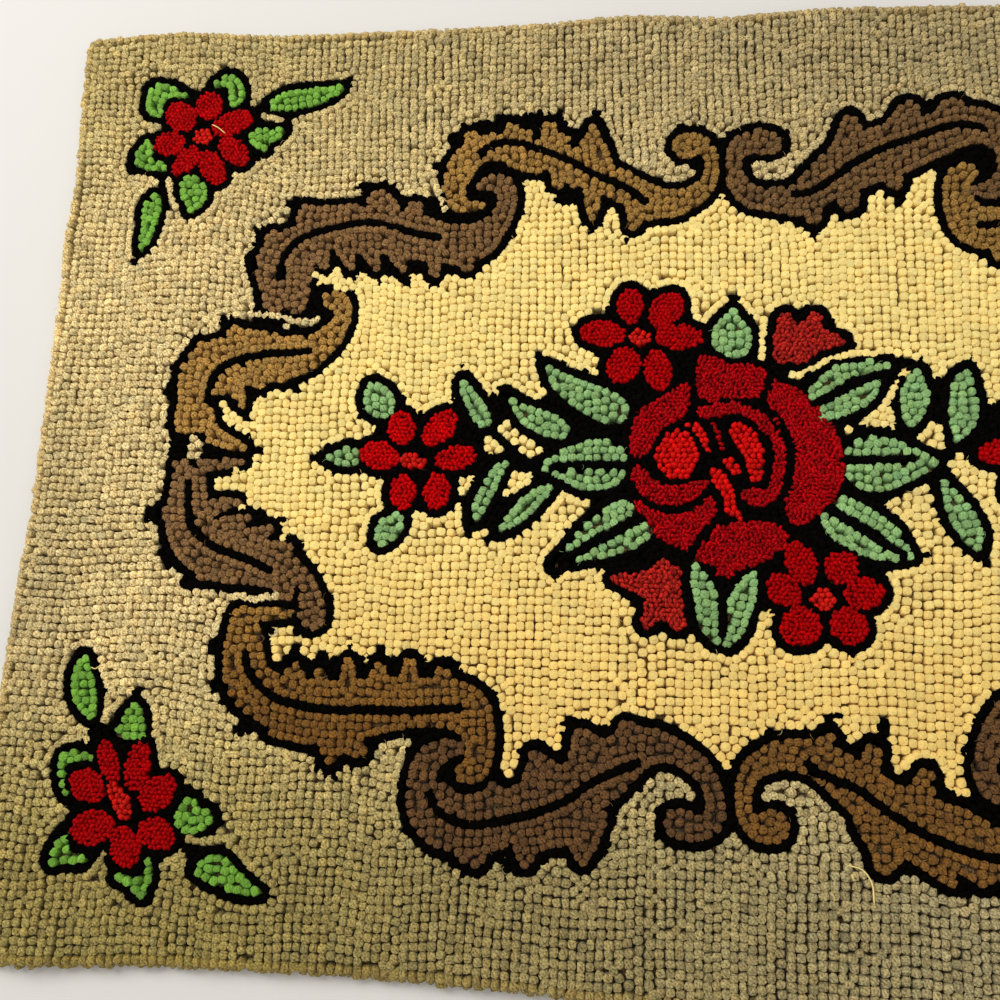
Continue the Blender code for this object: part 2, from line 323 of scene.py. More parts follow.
# The small leaves and the two brick-red blooms, as strokes of each yarn
SMALL_LEAVES = {
    "sage": (
        ((-110, 61, 1.5), (-99, 49, 7), (-82, 39, 10), (-70, 33, 10.5), (-64, 30, 6)),
        ((-113, -4, 1.5), (-103, -4, 6), (-92, -3.5, 12), (-82, -3.5, 16), (-75, -2.5, 16.5)),
        ((-101, -65, 2.5), (-92, -55, 3), (-83, -45, 4.5), (-72, -37, 6), (-62, -31, 6), (-57, -31, 3)),
        ((-91, -62, 2), (-80, -59, 3), (-68, -54, 5.5), (-56, -48, 6.5), (-47, -43, 5)),
        ((-161, 52, 1.5), (-160, 46, 4), (-155, 37, 5.5), (-150, 29, 6), (-147, 24, 4.5)),
        ((-134, 42, 1.5), (-127, 34, 4), (-118, 27, 7), (-107, 22, 8), (-100, 19, 6)),
        ((-132, -1, 2), (-138, -8, 4), (-144, -20, 5), (-149, -31, 4.5), (-152, -39, 2)),
        ((-106, -18, 2.5), (-113, -23, 5), (-121, -31, 6), (-129, -39, 4.5), (-135, -45, 2)),
        ((-219, 46, 5), (-215, 38, 10), (-211, 33, 7)),
        ((-246, 1, 1.5), (-238, 1, 5), (-231, 1.5, 7)),
        ((-199, -39, 5), (-204, -45, 7.5), (-208, -52, 4)),
        ((5, 96, 2), (4, 88, 7), (4, 79, 12.5), (6, 75, 10)),
        ((-19, -62, 1.5), (-16, -73, 5.5), (-12, -85, 7.5), (-10, -97, 7), (-7, -106, 4.5)),
        ((14, -70, 3), (10, -80, 7), (6, -90, 7.5), (4, -100, 6.5), (0, -108, 4)),
        ((51, 41, 3), (58, 47, 5.5), (68, 55, 5.5), (80, 58, 4.5), (92, 58, 4), (97, 61, 1.5)),
        ((58, 30, 4.5), (67, 33, 6), (77, 38, 6.5), (85, 44, 5.5), (89, 50, 3)),
        ((114, 56, 2), (111.5, 48, 6.5), (111, 38, 8.5), (109, 28, 5.5), (107, 24, 2.5)),
        ((142, 56, 2), (139, 48, 6.5), (139, 37, 8.5), (138, 26, 8), (135, 17, 4), (133, 12, 1.5)),
        ((120, -1, 3), (110, -1, 8), (100, -1, 13), (88, -1.5, 17.5), (84, -1.5, 17)),
        ((64, -24, 3), (71, -27, 5), (81, -33, 5), (91, -40, 4.5), (98, -48, 4), (103, -55, 2)),
        ((58, -36, 4.5), (65, -43, 6), (75, -49, 6.5), (86, -54, 5.5), (96, -57, 3), (104, -57, 2)),
        ((125, -13, 2.5), (129, -22, 5.5), (134, -33, 7.5), (139, -43, 6.5), (142, -52, 2)),
        ((207, -38, 8), (215, -44, 7), (219, -47, 4)),
        ((228, 4, 7), (236, 4, 5), (244, 4, 1.5)),
        ((199, 44, 5), (204, 50, 7.5), (208, 57, 4)),
    ),
    "leaf": (
        ((-386, 264, 7), (-375, 263, 5.5), (-364, 260, 2)),
        ((-386, 262, 7), (-386, 252, 7), (-382, 246, 3)),
        ((-343, 268, 3.5), (-336, 271, 5), (-330, 266, 6), (-328, 257, 6), (-330, 252, 3)),
        ((-306, 249, 2), (-297, 252, 6.5), (-286, 254, 8.5), (-271, 256, 7), (-258, 260, 4),
         (-255, 262, 2)),
        ((-309, 226, 8), (-300, 228, 6.5), (-294, 231, 3.5)),
        ((-309, 222, 5), (-305, 217, 3)),
        ((-388, 224, 3.5), (-390, 214, 7), (-385, 208, 5), (-374, 206, 3)),
        ((-390, 212, 5), (-394, 208, 4)),
        ((-355, 195, 5), (-353, 189, 9.5), (-350, 183, 9), (-352, 173, 3)),
        ((-377, 184, 3.5), (-380, 175, 7), (-380, 163, 6), (-382, 152, 4.5), (-384, 144, 1.5)),
        ((-389, -128, 3.5), (-388.5, -138, 7), (-386, -149, 8.5), (-382, -158, 5.5), (-380, -162, 3)),
        ((-353, -154, 1.5), (-353, -162, 7), (-354, -168, 8.5)),
        ((-356, -168, 6), (-365, -173, 2)),
        ((-350, -168, 6), (-347, -173, 3)),
        ((-377, -187, 2.5), (-386, -186, 4), (-394, -189, 3.5), (-394, -199, 2.5), (-390, -209, 2)),
        ((-388, -231, 2.5), (-389, -240, 6), (-392, -246, 5)),
        ((-388, -244, 5), (-378, -245, 4), (-372, -246, 2)),
        ((-335, -244, 2.5), (-334, -252, 3.5), (-338, -258, 6), (-336, -263, 3)),
        ((-352, -254, 2.5), (-342, -257, 3.5)),
        ((-313, -212, 5.5), (-312, -220, 9), (-303, -219, 6)),
        ((-304, -248, 3.5), (-294, -247, 9), (-285, -252, 7.5), (-274, -257, 4.5), (-266, -259, 2)),
    ),
    "brick": (
        ((38, 78, 10), (37, 90, 5)),
        ((50, 80, 11), (55, 91, 4)),
        ((52, 77, 10), (69, 76, 3)),
        ((42, 72, 12), (34, 67, 6)),
        ((46, 70, 9), (44, 66, 5)),
        ((-46, -76, 9), (-66, -73, 2.5)),
        ((-38, -74, 11), (-38, -65, 5)),
        ((-36, -86, 11), (-29, -98, 5)),
        ((-40, -88, 9), (-47, -99, 3.5)),
        ((-36, -78, 10), (-31, -70, 5)),
    ),
}
# Black stems, and black lines down the small leaves
VEINS = (
    ((-104, -5), (-92, -3), (-60, -3)),
    ((68, 0.5), (85, 1), (100, 1.5), (108, 2)),
    ((-144, 19), (-137, 13), (-130, 7), (-124, 1), (-114, -3)),
    ((-373, 200), (-375, 190)),
    ((-314, 246), (-307, 250)),
    ((-98, -62), (-60, -42), (-50, -36)),
    ((53, 36), (68, 44), (85, 52), (95, 55)),
    ((60, -30), (75, -40), (90, -50), (100, -56)),
    ((-3, -72), (-3, -104)),
)
# Thin black strokes between the petals of the rose
PETAL_GAPS = (
    ((27, 62, 2), (26, 50, 1.8), (22, 40, 1.8), (27, 28, 2)),
    ((-7, -37, 1.8), (-15, -46, 1.8), (-21, -57, 2.5)),
    ((-58, -14, 2), (-50, -24, 1.8), (-38, -31, 1.8), (-26, -31, 1.8), (-16, -26, 1.6)),
    ((-20, 42, 1.6), (-19, 34, 1.8), (-20, 24, 2)),
    ((20, -31, 2), (30, -36, 2), (38, -42, 2.5)),
    ((30, 30, 1.6), (37, 14, 1.8), (38, -4, 1.8), (34, -20, 1.8), (26, -29, 1.8)),
)
# Black ground behind and between the flowers
SHADOWS = (
    ((-20, 0, 45), (14, 0, 50)),
    ((2, 40, 30), (6, -40, 30)),
    ((-46, 45, 12), (-34, 58, 9)),
    ((-66, 26, 8), (-62, -24, 6)),
    ((-47, 79, 16), (-52, 79, 16)),
    ((50, -82, 16), (56, -82, 16)),
    ((28, 62, 7), (36, 55, 6)),
    ((-30, 62, 9), (-24, 70, 6)),
    ((-57, 44, 8), (-50, 36, 8)),
    ((-44, -50, 10), (-30, -58, 8)),
    ((44, -43, 9), (56, -47, 6)),
    ((63, 26, 5), (66, -22, 5)),
)
# The same toward the rug's ends, both ways
END_SHADOWS = (
    ((-187, 0, 12), (-193, 0, 12)),
    ((-346, 0, 3.5), (-334, -2, 4), (-300, 0, 4)),
    ((-350, 228, 16), (-348, 226, 16)),
    ((-356, -210, 16), (-352, -214, 16)),
)
# Single rows of ground loops that run between two outlines: their yarn, and rows of x and y
STRIPS = (
    ("cream", ((23.5, 90), (23, 78), (22, 66))),
    ("cream", ((40, 54), (45, 54), (51, 58), (58, 62), (67, 65), (78, 68), (88, 67))),
    ("cream", ((107, 57), (102, 50), (97, 41), (92, 33))),
    ("tan", ((-303, 97.5), (-294, 97), (-284, 95.5), (-274, 92.5), (-262, 91.5))),
    ("tan", ((-187, 189), (-184, 182), (-181, 175), (-179, 169.5))),
    ("tan", ((-300, -88), (-291, -87.5), (-285, -90), (-275, -87), (-263, -87.5))),
    ("tan", ((-307, 242), (-300, 240.5), (-296, 238))),
    ("tan", ((-370.5, 196), (-368.5, 190), (-366.5, 183), (-363, 176))),
    ("tan", ((-371, -150), (-370, -158), (-371, -164))),
    ("tan", ((-311, -231), (-303, -232), (-295, -230.5), (-285, -229))),
    ("tan", ((-368, -252), (-364, -246), (-362, -242))),
)
# Wider pockets of ground in the leaves' notches: their yarn, and a stroke
POCKETS = (
    ("cream", ((-263, 127, 0.5), (-258, 121, 2), (-247, 119.5, 2.5), (-238, 117, 2))),
    ("cream", ((-249, 121, 2), (-249, 127, 0.3))),
    ("cream", ((-315, 36, 0.2), (-313.5, 29, 1))),
    ("cream", ((-313, -17, 1), (-305, -15.5, 4.5), (-297, -14, 5.5))),
    ("cream", ((-293, -26, 3), (-297, -31.5, 0.3))),
    ("cream", ((-266, -42, 2), (-268, -48.5, 0.3))),
)
# Black strokes that part two leaves which lie against each other
LEAF_GAPS = (
    ((-259, -84, 1.8), (-257.5, -92, 1.8), (-256.5, -103, 1.8)),
)
# A spot of tan ground that an outline runs round: x, y and radius
SPOTS = ((-332.5, 7, 7.5),)
# A quarter of the cream middle's edge, from its top round to its left end
CREAM = (
    (0, 182), (-30, 172), (-60, 178), (-100, 200), (-125, 197), (-150, 190), (-165, 165), (-200, 150),
    (-270, 150), (-275, 130), (-268, 103), (-252, 98), (-247, 85), (-300, 68), (-335, 60), (-338, 30),
    (-324, 10), (-322, 0),
)

# The yarns, and the number that stands for each of them on the chart
NAMES = (
    "tan", "cream", "black", "caramel", "taupe", "petal", "bright", "red", "eye", "brick", "sage", "leaf",
)
CODE = {name: number for number, name in enumerate(NAMES)}

# How wide a shape's black outline is, round most shapes and round the corner flowers
OUTLINE = 4.9
THIN_OUTLINE = 3.9
# Half the widths of a black line, of an outline's sharp tip, and of a single row of ground loops
VEIN_HALF = 2.5
TIP_HALF = 2.3
STRIP_HALF = 2.4
# How long a sharp tip is, and how wide a stroke's end may be to get one, on a scroll leaf and a small one
TIP_LENGTH = 3.0
POINTED = 3.5
SMALL_POINTED = 2
# Ground narrower than a disc of this radius is hooked in black, and so is a ring this wide round a spot
NARROWEST = 3
SPOT_RING = 3
# Petals are made this much longer and wider than their rows say, and narrow to this share at the ends
PETAL_LONGER = 1.6
PETAL_WIDER = 1.2
PETAL_END = 0.72

# Most of the pattern stands both as drawn and turned half round the rug
BOTH_WAYS = (1, -1)
# The flowers that stand once more, turned, and how far they then move along and across the rug
TURNED_FLOWERS = {"side_left": (-6, 7), "corner_top": (0, 0), "corner_low": (0, 0)}

# The chart's limits, the distance that it starts with, and how far round a stroke it is drawn
X0, X1, Y0, Y1 = -456, 456, -320, 320
FAR = 60.0
STROKE_REACH = 36


def curve(rows, steps=5):
    """A smooth curve through the rows, with this many steps from each row to the next."""
    rows = np.array(rows, float)
    if len(rows) < 3:
        return rows
    padded = np.vstack([2 * rows[0] - rows[1], rows, 2 * rows[-1] - rows[-2]])
    found = []
    for before, start, end, after in zip(padded, padded[1:], padded[2:], padded[3:]):
        bend = 2 * before - 5 * start + 4 * end - after
        twist = 3 * start - before - 3 * end + after
        for step in range(steps):
            t = step / steps
            found.append(0.5 * ((2 * start) + (end - before) * t + bend * t * t + twist * t ** 3))
    found.append(rows[-1])
    return np.array(found)


def stand(rows, way):
    """A stroke as drawn where way is 1, and turned half round the rug where it is -1."""
    return [(x * way, y * way, *rest) for x, y, *rest in rows]


def strips_and_turned():
    """The single rows as drawn, and the tan ones once more turned half round the rug."""
    return list(STRIPS) + [(colour, stand(rows, -1)) for colour, rows in STRIPS if colour == "tan"]


class Chart:
    """The pattern on a grid of one-millimetre steps.

    fill, line, dark, tip, gap and strip hold how far it is to the nearest stroke of that kind, below zero
    inside it. colour and strip_colour hold the yarn of the nearest filled stroke and strip, and outline
    holds how wide the black round that filled stroke is.
    """

    def __init__(self):
        self.xs = np.arange(X0, X1 + 1.0)
        self.ys = np.arange(Y0, Y1 + 1.0)
        shape = (len(self.ys), len(self.xs))
        for kind in ("fill", "line", "dark", "tip", "gap", "strip"):
            setattr(self, kind, np.full(shape, FAR))
        self.colour = np.zeros(shape, int)
        self.strip_colour = np.zeros(shape, int)
        self.outline = np.full(shape, OUTLINE)

    def window(self, x0, x1, y0, y1):
        """The part of the grid within these limits, and the places of its columns and rows."""
        i0, i1 = max(0, int(x0 - X0)), min(len(self.xs), int(x1 - X0) + 2)
        j0, j1 = max(0, int(y0 - Y0)), min(len(self.ys), int(y1 - Y0) + 2)
        return (slice(j0, j1), slice(i0, i1)), self.xs[i0:i1][None, :], self.ys[j0:j1][:, None]

    def stroke(self, rows, colour=None, kind="fill", outline=OUTLINE):
        """Draws a stroke into the field of its kind, and its yarn where it has one."""
        path = curve(rows)
        has_width = path.shape[1] > 2
        field = getattr(self, kind)
        for start, end in zip(path[:-1], path[1:]):
            around = (max(start[2], end[2]) if has_width else 0) + STROKE_REACH
            low, high = np.minimum(start, end) - around, np.maximum(start, end) + around
            at, x, y = self.window(low[0], high[0], low[1], high[1])
            dx, dy = end[0] - start[0], end[1] - start[1]
            along = ((x - start[0]) * dx + (y - start[1]) * dy) / max(dx * dx + dy * dy, 1e-9)
            along = np.clip(along, 0, 1)
            away = np.hypot(x - start[0] - along * dx, y - start[1] - along * dy)
            if has_width:
                away = away - (start[2] + (end[2] - start[2]) * along)
            near = away < field[at]
            field[at] = np.where(near, away, field[at])
            if colour:
                colours = self.colour if kind == "fill" else self.strip_colour
                colours[at] = np.where(near, CODE[colour], colours[at])
            if kind == "fill":
                self.outline[at] = np.where(near, outline, self.outline[at])

    def point(self, rows, outline=OUTLINE):
        """Draws the outline out to a sharp point beyond a stroke's end."""
        (ax, ay, _), (bx, by, half) = rows[-2], rows[-1]
        far = math.hypot(bx - ax, by - ay)
        step_x, step_y = (bx - ax) / far, (by - ay) / far
        ends = (half + outline / 2, half + outline / 2 + TIP_LENGTH)
        self.stroke([(bx + step_x * end, by + step_y * end) for end in ends], kind="tip")

    def bare(self):
        """Below zero inside one colour, above it on an outline or a line."""
        return np.maximum.reduce([self.fill, VEIN_HALF - self.line, -self.gap])


def petal(x, y, length, width, turn):
    """A petal as a stroke of three places: a narrower one at each hand of its middle."""
    half = (width + PETAL_WIDER) / 2
    far = (length + PETAL_LONGER - (width + PETAL_WIDER)) / 2 + half * (1 - PETAL_END)
    far_x, far_y = math.cos(math.radians(turn)) * far, math.sin(math.radians(turn)) * far
    end = half * PETAL_END
    return ((x - far_x, y - far_y, end), (x, y, half), (x + far_x, y + far_y, end))


def draw_flowers(chart):
    """Draws the flowers, and then the ones that stand once more, turned."""
    for name, petals in PETALS.items():
        outline = THIN_OUTLINE if name.startswith("corner") else OUTLINE
        for row in petals:
            chart.stroke(petal(*row), "red", outline=outline)
        chart.stroke(EYES[name], "eye", outline=outline)
    for name, (over_x, over_y) in TURNED_FLOWERS.items():
        outline = THIN_OUTLINE if name.startswith("corner") else OUTLINE
        for x, y, *rest in PETALS[name]:
            chart.stroke(petal(over_x - x, over_y - y, *rest), "red", outline=outline)
        chart.stroke([(over_x - x, over_y - y, half) for x, y, half in EYES[name]], "eye")


def draw():
    """The whole pattern on a chart."""
    chart = Chart()
    for leaf, vein, colour, ways in LEAVES:
        for way in ways:
            for rows in leaf:
                chart.stroke(stand(rows, way), colour)
                if len(rows) < 5 and rows[-1][2] <= POINTED:
                    chart.point(stand(rows, way))
            chart.stroke(stand(vein, way), kind="line")
    for colour, rows in ROSE:
        chart.stroke(rows, colour)
    draw_flowers(chart)
    for colour, leaves in SMALL_LEAVES.items():
        outline = THIN_OUTLINE if colour == "leaf" else OUTLINE
        for rows in leaves:
            chart.stroke(rows, colour, outline=outline)
            for ends in (rows, rows[::-1]):
                if ends[-1][2] <= SMALL_POINTED:
                    chart.point(ends, outline)
            if colour == "leaf":
                chart.stroke(stand(rows, -1), colour, outline=outline)
    for rows in VEINS:
        chart.stroke(rows, kind="line")
    for rows in PETAL_GAPS:
        chart.stroke(rows, kind="gap")
    for colour, rows in strips_and_turned():
        chart.stroke(rows, colour, "strip")
    for way in BOTH_WAYS:
        for colour, rows in POCKETS:
            chart.stroke(stand(rows, way), colour, "strip")
        for rows in LEAF_GAPS:
            chart.stroke(stand(rows, way), kind="gap")
        for rows in LEAF_CORNERS:
            chart.stroke(stand(rows, way), kind="dark")
    for rows in LONE_CORNERS + SHADOWS:
        chart.stroke(rows, kind="dark")
    for rows in END_SHADOWS:
        for way in BOTH_WAYS:
            chart.stroke(stand(rows, way), kind="dark")
    return chart


def inside(corners, x, y):
    """Which places lie inside the shape with these corners."""
    found = np.zeros(np.broadcast(x, y).shape, bool)
    for (ax, ay), (bx, by) in zip(corners, corners[1:] + corners[:1]):
        if ay != by:
            crossed = (ay > y) != (by > y)
            found ^= crossed & (x < ax + (y - ay) * (bx - ax) / (by - ay))
    return found


def wide_enough(mask, reach):
    """The parts of a mask that a disc of this radius fits into."""
    span = range(-reach, reach + 1)
    steps = [(i, j) for i in span for j in span if i * i + j * j <= reach * reach]
    worn = np.logical_and.reduce([np.roll(mask, step, (0, 1)) for step in steps])
    return np.logical_or.reduce([np.roll(worn, step, (0, 1)) for step in steps])


def classes(chart):
    """The number of the yarn at each place of the chart."""
    x, y = chart.xs[None, :], chart.ys[:, None]
    left = list(CREAM) + [(a, -b) for a, b in CREAM[::-1]]
    cream = inside(left + stand(left, -1), x + 0 * y, y + 0 * x)
    kinds = np.where(cream, CODE["cream"], CODE["tan"])
    outlined = (chart.fill < chart.outline) | (chart.dark < 0) | (chart.tip < TIP_HALF)
    kinds = np.where(outlined, CODE["black"], kinds)
    ground = (kinds == CODE["cream"]) | (kinds == CODE["tan"])
    kinds = np.where(ground & ~wide_enough(ground, NARROWEST), CODE["black"], kinds)
    kinds = np.where(chart.strip < STRIP_HALF, chart.strip_colour, kinds)
    kinds = np.where(chart.fill < 0, chart.colour, kinds)
    kinds = np.where((chart.line < VEIN_HALF) | (chart.gap < 0), CODE["black"], kinds)
    for spot_x, spot_y, wide in SPOTS:
        for way in BOTH_WAYS:
            away = np.hypot(x - spot_x * way, y - spot_y * way)
            kinds = np.where(away < wide + SPOT_RING, CODE["black"], kinds)
            kinds = np.where(away < wide, CODE["tan"], kinds)
    return kinds


def kind_at(kinds, x, y):
    """The number of the yarn at each of these places."""
    i = np.clip(np.round(x - X0).astype(int), 0, kinds.shape[1] - 1)
    j = np.clip(np.round(y - Y0).astype(int), 0, kinds.shape[0] - 1)
    return kinds[j, i]


# The pile, in millimetres too

# How far apart the loops stand, how many stand along and across the rug, how far in from the edge the
# outermost ones stand, and how close two loops may come before one of them goes
PITCH = 5.2
LOOPS_ALONG = 170
LOOPS_ACROSS = 117
RIM_INSET = 2.7
CLOSEST = 3.7
# How unevenly the columns and rows of loops start, and the loops stand in them
COLUMN_START = 0.9
ROW_START = 1.2
JITTER_X = 0.40
JITTER_Y = 0.50
# How far from an outline's middle its first rows of loops lie, how strongly they are drawn there, how far
# out a loop belongs to the first row and the second, and where the rows end
ROWS = np.array([0.0, 4.6, 9.8])
PULLS = np.array([0.55, 0.22, 0.03])
ROW_LIMITS = (2.4, 7.2)
ROWS_END = 12.4
# How strongly crowded loops push each other apart, and how far a loop may move in one round of settling
PUSH = 0.26
MOST_MOVE = 1.2
# How far apart the loops of a single row stand, and how far other loops keep from them
STRIP_STEP = 4.4
STRIP_CLEAR = 3.9
# How close together each finer yarn is hooked
FINE_PITCH = {"petal": 2.75, "red": 2.85, "brick": 3.1, "bright": 3.6, "eye": 3.4}
# The grid on which gaps between the loops are looked for, how many of its steps round a loop are taken up
# and within what radius of steps, and how far apart new loops are
GAP_STEP = 1.6
LOOP_STEPS = 3
TAKEN_RADIUS = 2.7
NEW_APART = 4.4
# The grid on which bare places are looked for, how far from the other loops such a place gets one more,
# and how far apart these are: on black, and on the other yarns
COVER_STEP = 1.5
BLACK_COVER = (2.3, 2.65)
OTHER_COVER = (4.1, 3.9)
# Black loops this close to their line's middle are drawn this share of the way to it, and all loops this
# close to one are turned along it
SNAP_WITHIN = 2.6
SNAP_SHARE = 0.6
TURNED_WITHIN = 7.0
# How far the loops' tops stand over the solid, how much lower the black ones and how much higher the rim's
# are, how high the edge's stand and how unevenly, and where the pile's top is taken to be beside the solid
OVER_PILE = 0.3
BLACK_LOWER = 0.1
RIM_HIGHER = 0.5
EDGE_HIGH = 7.0
EDGE_UNEVEN = 0.6
PILE_TOP = 8.0
# How far the rim's loops and the edge's lean out
RIM_LEAN = 0.35
EDGE_LEAN = 0.55
# The edges are read between the rounded corners, at this many places along and across the rug
CORNER = 12
READ_ALONG = 90
READ_ACROSS = 62
# Rays to the solids start this far over or under the floor, in metres
RAY_START = 0.1


def strip_loops():
    """The places of the loops along every strip."""
    found = []
    for _, rows in strips_and_turned():
        path = curve(rows)
        along = np.append(0.0, np.hypot(*np.diff(path, axis=0).T).cumsum())
        steps = np.linspace(0.0, along[-1], round(along[-1] / STRIP_STEP) + 1)
        found.append(np.stack([np.interp(steps, along, column) for column in path.T], 1))
    return np.vstack(found)


def faces_of(node):
    """A solid's faces, ready to be met by rays."""
    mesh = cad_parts[node].data
    places = [vertex.co.copy() for vertex in mesh.vertices]
    return BVHTree.FromPolygons(places, [list(face.vertices) for face in mesh.polygons])


class Rug:
    """The rug's outline and heights, read off the frame's own solids."""

    def __init__(self):
        self.pile = faces_of("hooked_pile")
        self.base = faces_of("foundation")
        low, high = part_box("hooked_pile")
        self.half_x = (high[0] - low[0]) / 2 / MM
        self.half_y = (high[1] - low[1]) / 2 / MM
        self.along = np.linspace(-self.half_x + CORNER, self.half_x - CORNER, READ_ALONG)
        self.across = np.linspace(-self.half_y + CORNER, self.half_y - CORNER, READ_ACROSS)
        self.bottom = np.array([self.reach(x, 0, 0, -1) for x in self.along])
        self.top = np.array([self.reach(x, 0, 0, 1) for x in self.along])
        self.left = np.array([self.reach(0, y, -1, 0) for y in self.across])
        self.right = np.array([self.reach(0, y, 1, 0) for y in self.across])

    def hit(self, tree, x, y, down=True):
        """Where a solid is met from above or below this place, or None."""
        way = -1 if down else 1
        return tree.ray_cast(Vector((x * MM, y * MM, -way * RAY_START)), Vector((0, 0, way)))[0]

    def reach(self, x, y, dx, dy):
        """Where the pile ends, going from this point in this direction."""
        within, beyond = 200.0, 480.0
        while beyond - within > 0.05:
            middle = (within + beyond) / 2
            if self.hit(self.pile, x + dx * middle, y + dy * middle):
                within = middle
            else:
                beyond = middle
        return (x * dx + y * dy + within) * (dx + dy)

    def edges(self, x, y):
        """The places of the left and right edge at y, and of the bottom and top edge at x."""
        left, right = np.interp(y, self.across, self.left), np.interp(y, self.across, self.right)
        bottom, top = np.interp(x, self.along, self.bottom), np.interp(x, self.along, self.top)
        return left, right, bottom, top

    def place(self, u, v):
        """Takes u and v, each from -1 to 1 over the rug, to x and y."""
        left, right, bottom, top = self.edges(u * self.half_x, v * self.half_y)
        return (left + right) / 2 + u * (right - left) / 2, (bottom + top) / 2 + v * (top - bottom) / 2

    def inset(self, x, y):
        """How far in from the rug's edge a place lies."""
        left, right, bottom, top = self.edges(x, y)
        return np.minimum(np.minimum(x - left, right - x), np.minimum(y - bottom, top - y))

    def height(self, tree, x, y, down=True):
        """The height of a solid's upper or lower face at each place, in metres."""
        spots = [self.hit(tree, a, b, down) for a, b in zip(x, y)]
        return np.array([spot.z if spot else np.nan for spot in spots])


def sample(field, x, y):
    """Reads a chart field between its points."""
    i = np.clip(x - X0, 0, field.shape[1] - 1.001)
    j = np.clip(y - Y0, 0, field.shape[0] - 1.001)
    i0, j0 = i.astype(int), j.astype(int)
    fi, fj = i - i0, j - j0
    low = field[j0, i0] * (1 - fi) + field[j0, i0 + 1] * fi
    high = field[j0 + 1, i0] * (1 - fi) + field[j0 + 1, i0 + 1] * fi
    return low * (1 - fj) + high * fj


def neighbours(x, y, reach):
    """Pairs of loops that are closer than reach, found in square cells of that size."""
    cell_x = np.floor((x - x.min()) / reach).astype(int)
    cell_y = np.floor((y - y.min()) / reach).astype(int)
    wide = cell_x.max() + 3
    key = (cell_y + 1) * wide + cell_x + 1
    order = np.argsort(key, kind="stable")
    sorted_key = key[order]
    first, second = [], []
    for off in (0, 1, wide - 1, wide, wide + 1):
        start = np.searchsorted(sorted_key, key + off, "left")
        end = np.searchsorted(sorted_key, key + off, "right")
        for k in range((end - start).max()):
            a = np.nonzero(start + k < end)[0]
            b = order[start[a] + k]
            # Within one cell each pair turns up twice
            keep = (b > a) | (off != 0)
            first.append(a[keep])
            second.append(b[keep])
    a, b = np.concatenate(first), np.concatenate(second)
    close = np.hypot(x[a] - x[b], y[a] - y[b]) < reach
    return a[close], b[close]


def push_apart(x, y, pitch):
    """How far each loop moves to make room for its neighbours."""
    a, b = neighbours(x, y, pitch)
    dx, dy = x[a] - x[b], y[a] - y[b]
    gap = np.maximum(np.hypot(dx, dy), 0.05)
    push = (pitch - gap) * PUSH / gap
    move_x = np.bincount(a, dx * push, len(x)) - np.bincount(b, dx * push, len(x))
    move_y = np.bincount(a, dy * push, len(x)) - np.bincount(b, dy * push, len(x))
    return move_x, move_y


def settle(x, y, held, fields, rounds):
    """Pushes crowded loops apart and draws the ones beside an outline into rows along it."""
    home_x, home_y = x, y
    nearness, slope_x, slope_y = fields
    for _ in range(rounds):
        move_x, move_y = push_apart(x, y, PITCH)
        near = sample(nearness, x, y)
        row = np.digitize(near, ROW_LIMITS)
        want = np.where(near < ROWS_END, (ROWS[row] - near) * PULLS[row], 0.0)
        gx, gy = sample(slope_x, x, y), sample(slope_y, x, y)
        steep = np.maximum(np.hypot(gx, gy), 0.4)
        # Further from the outlines, each loop is drawn back to where it came from
        home = np.clip((near - 7.5) / 20, 0.0, 0.3)
        move_x += want * gx / steep
        move_y += want * gy / steep
        move_x += (home_x - x) * home
        move_y += (home_y - y) * home
        x = np.where(held, x, x + np.clip(move_x, -MOST_MOVE, MOST_MOVE))
        y = np.where(held, y, y + np.clip(move_y, -MOST_MOVE, MOST_MOVE))
    return x, y


def smooth(t):
    """0 below 0, 1 above 1, and an even S between."""
    t = np.clip(t, 0.0, 1.0)
    return t * t * (3.0 - 2.0 * t)


def drift(x, y, size, seed, waves=5):
    """A slow, even wander from about -1 to 1."""
    phases = np.random.default_rng(seed).uniform(0, 6.283, (waves, 2))
    turns = np.random.default_rng(seed + 1).uniform(0, 6.283, waves)
    total = 0.0
    for k in range(waves):
        stretch = 6.283 / (size * (0.7 + 0.25 * k))
        total = total + np.sin((x * math.cos(turns[k]) + y * math.sin(turns[k])) * stretch + phases[k, 0])
    return total / waves * 1.6


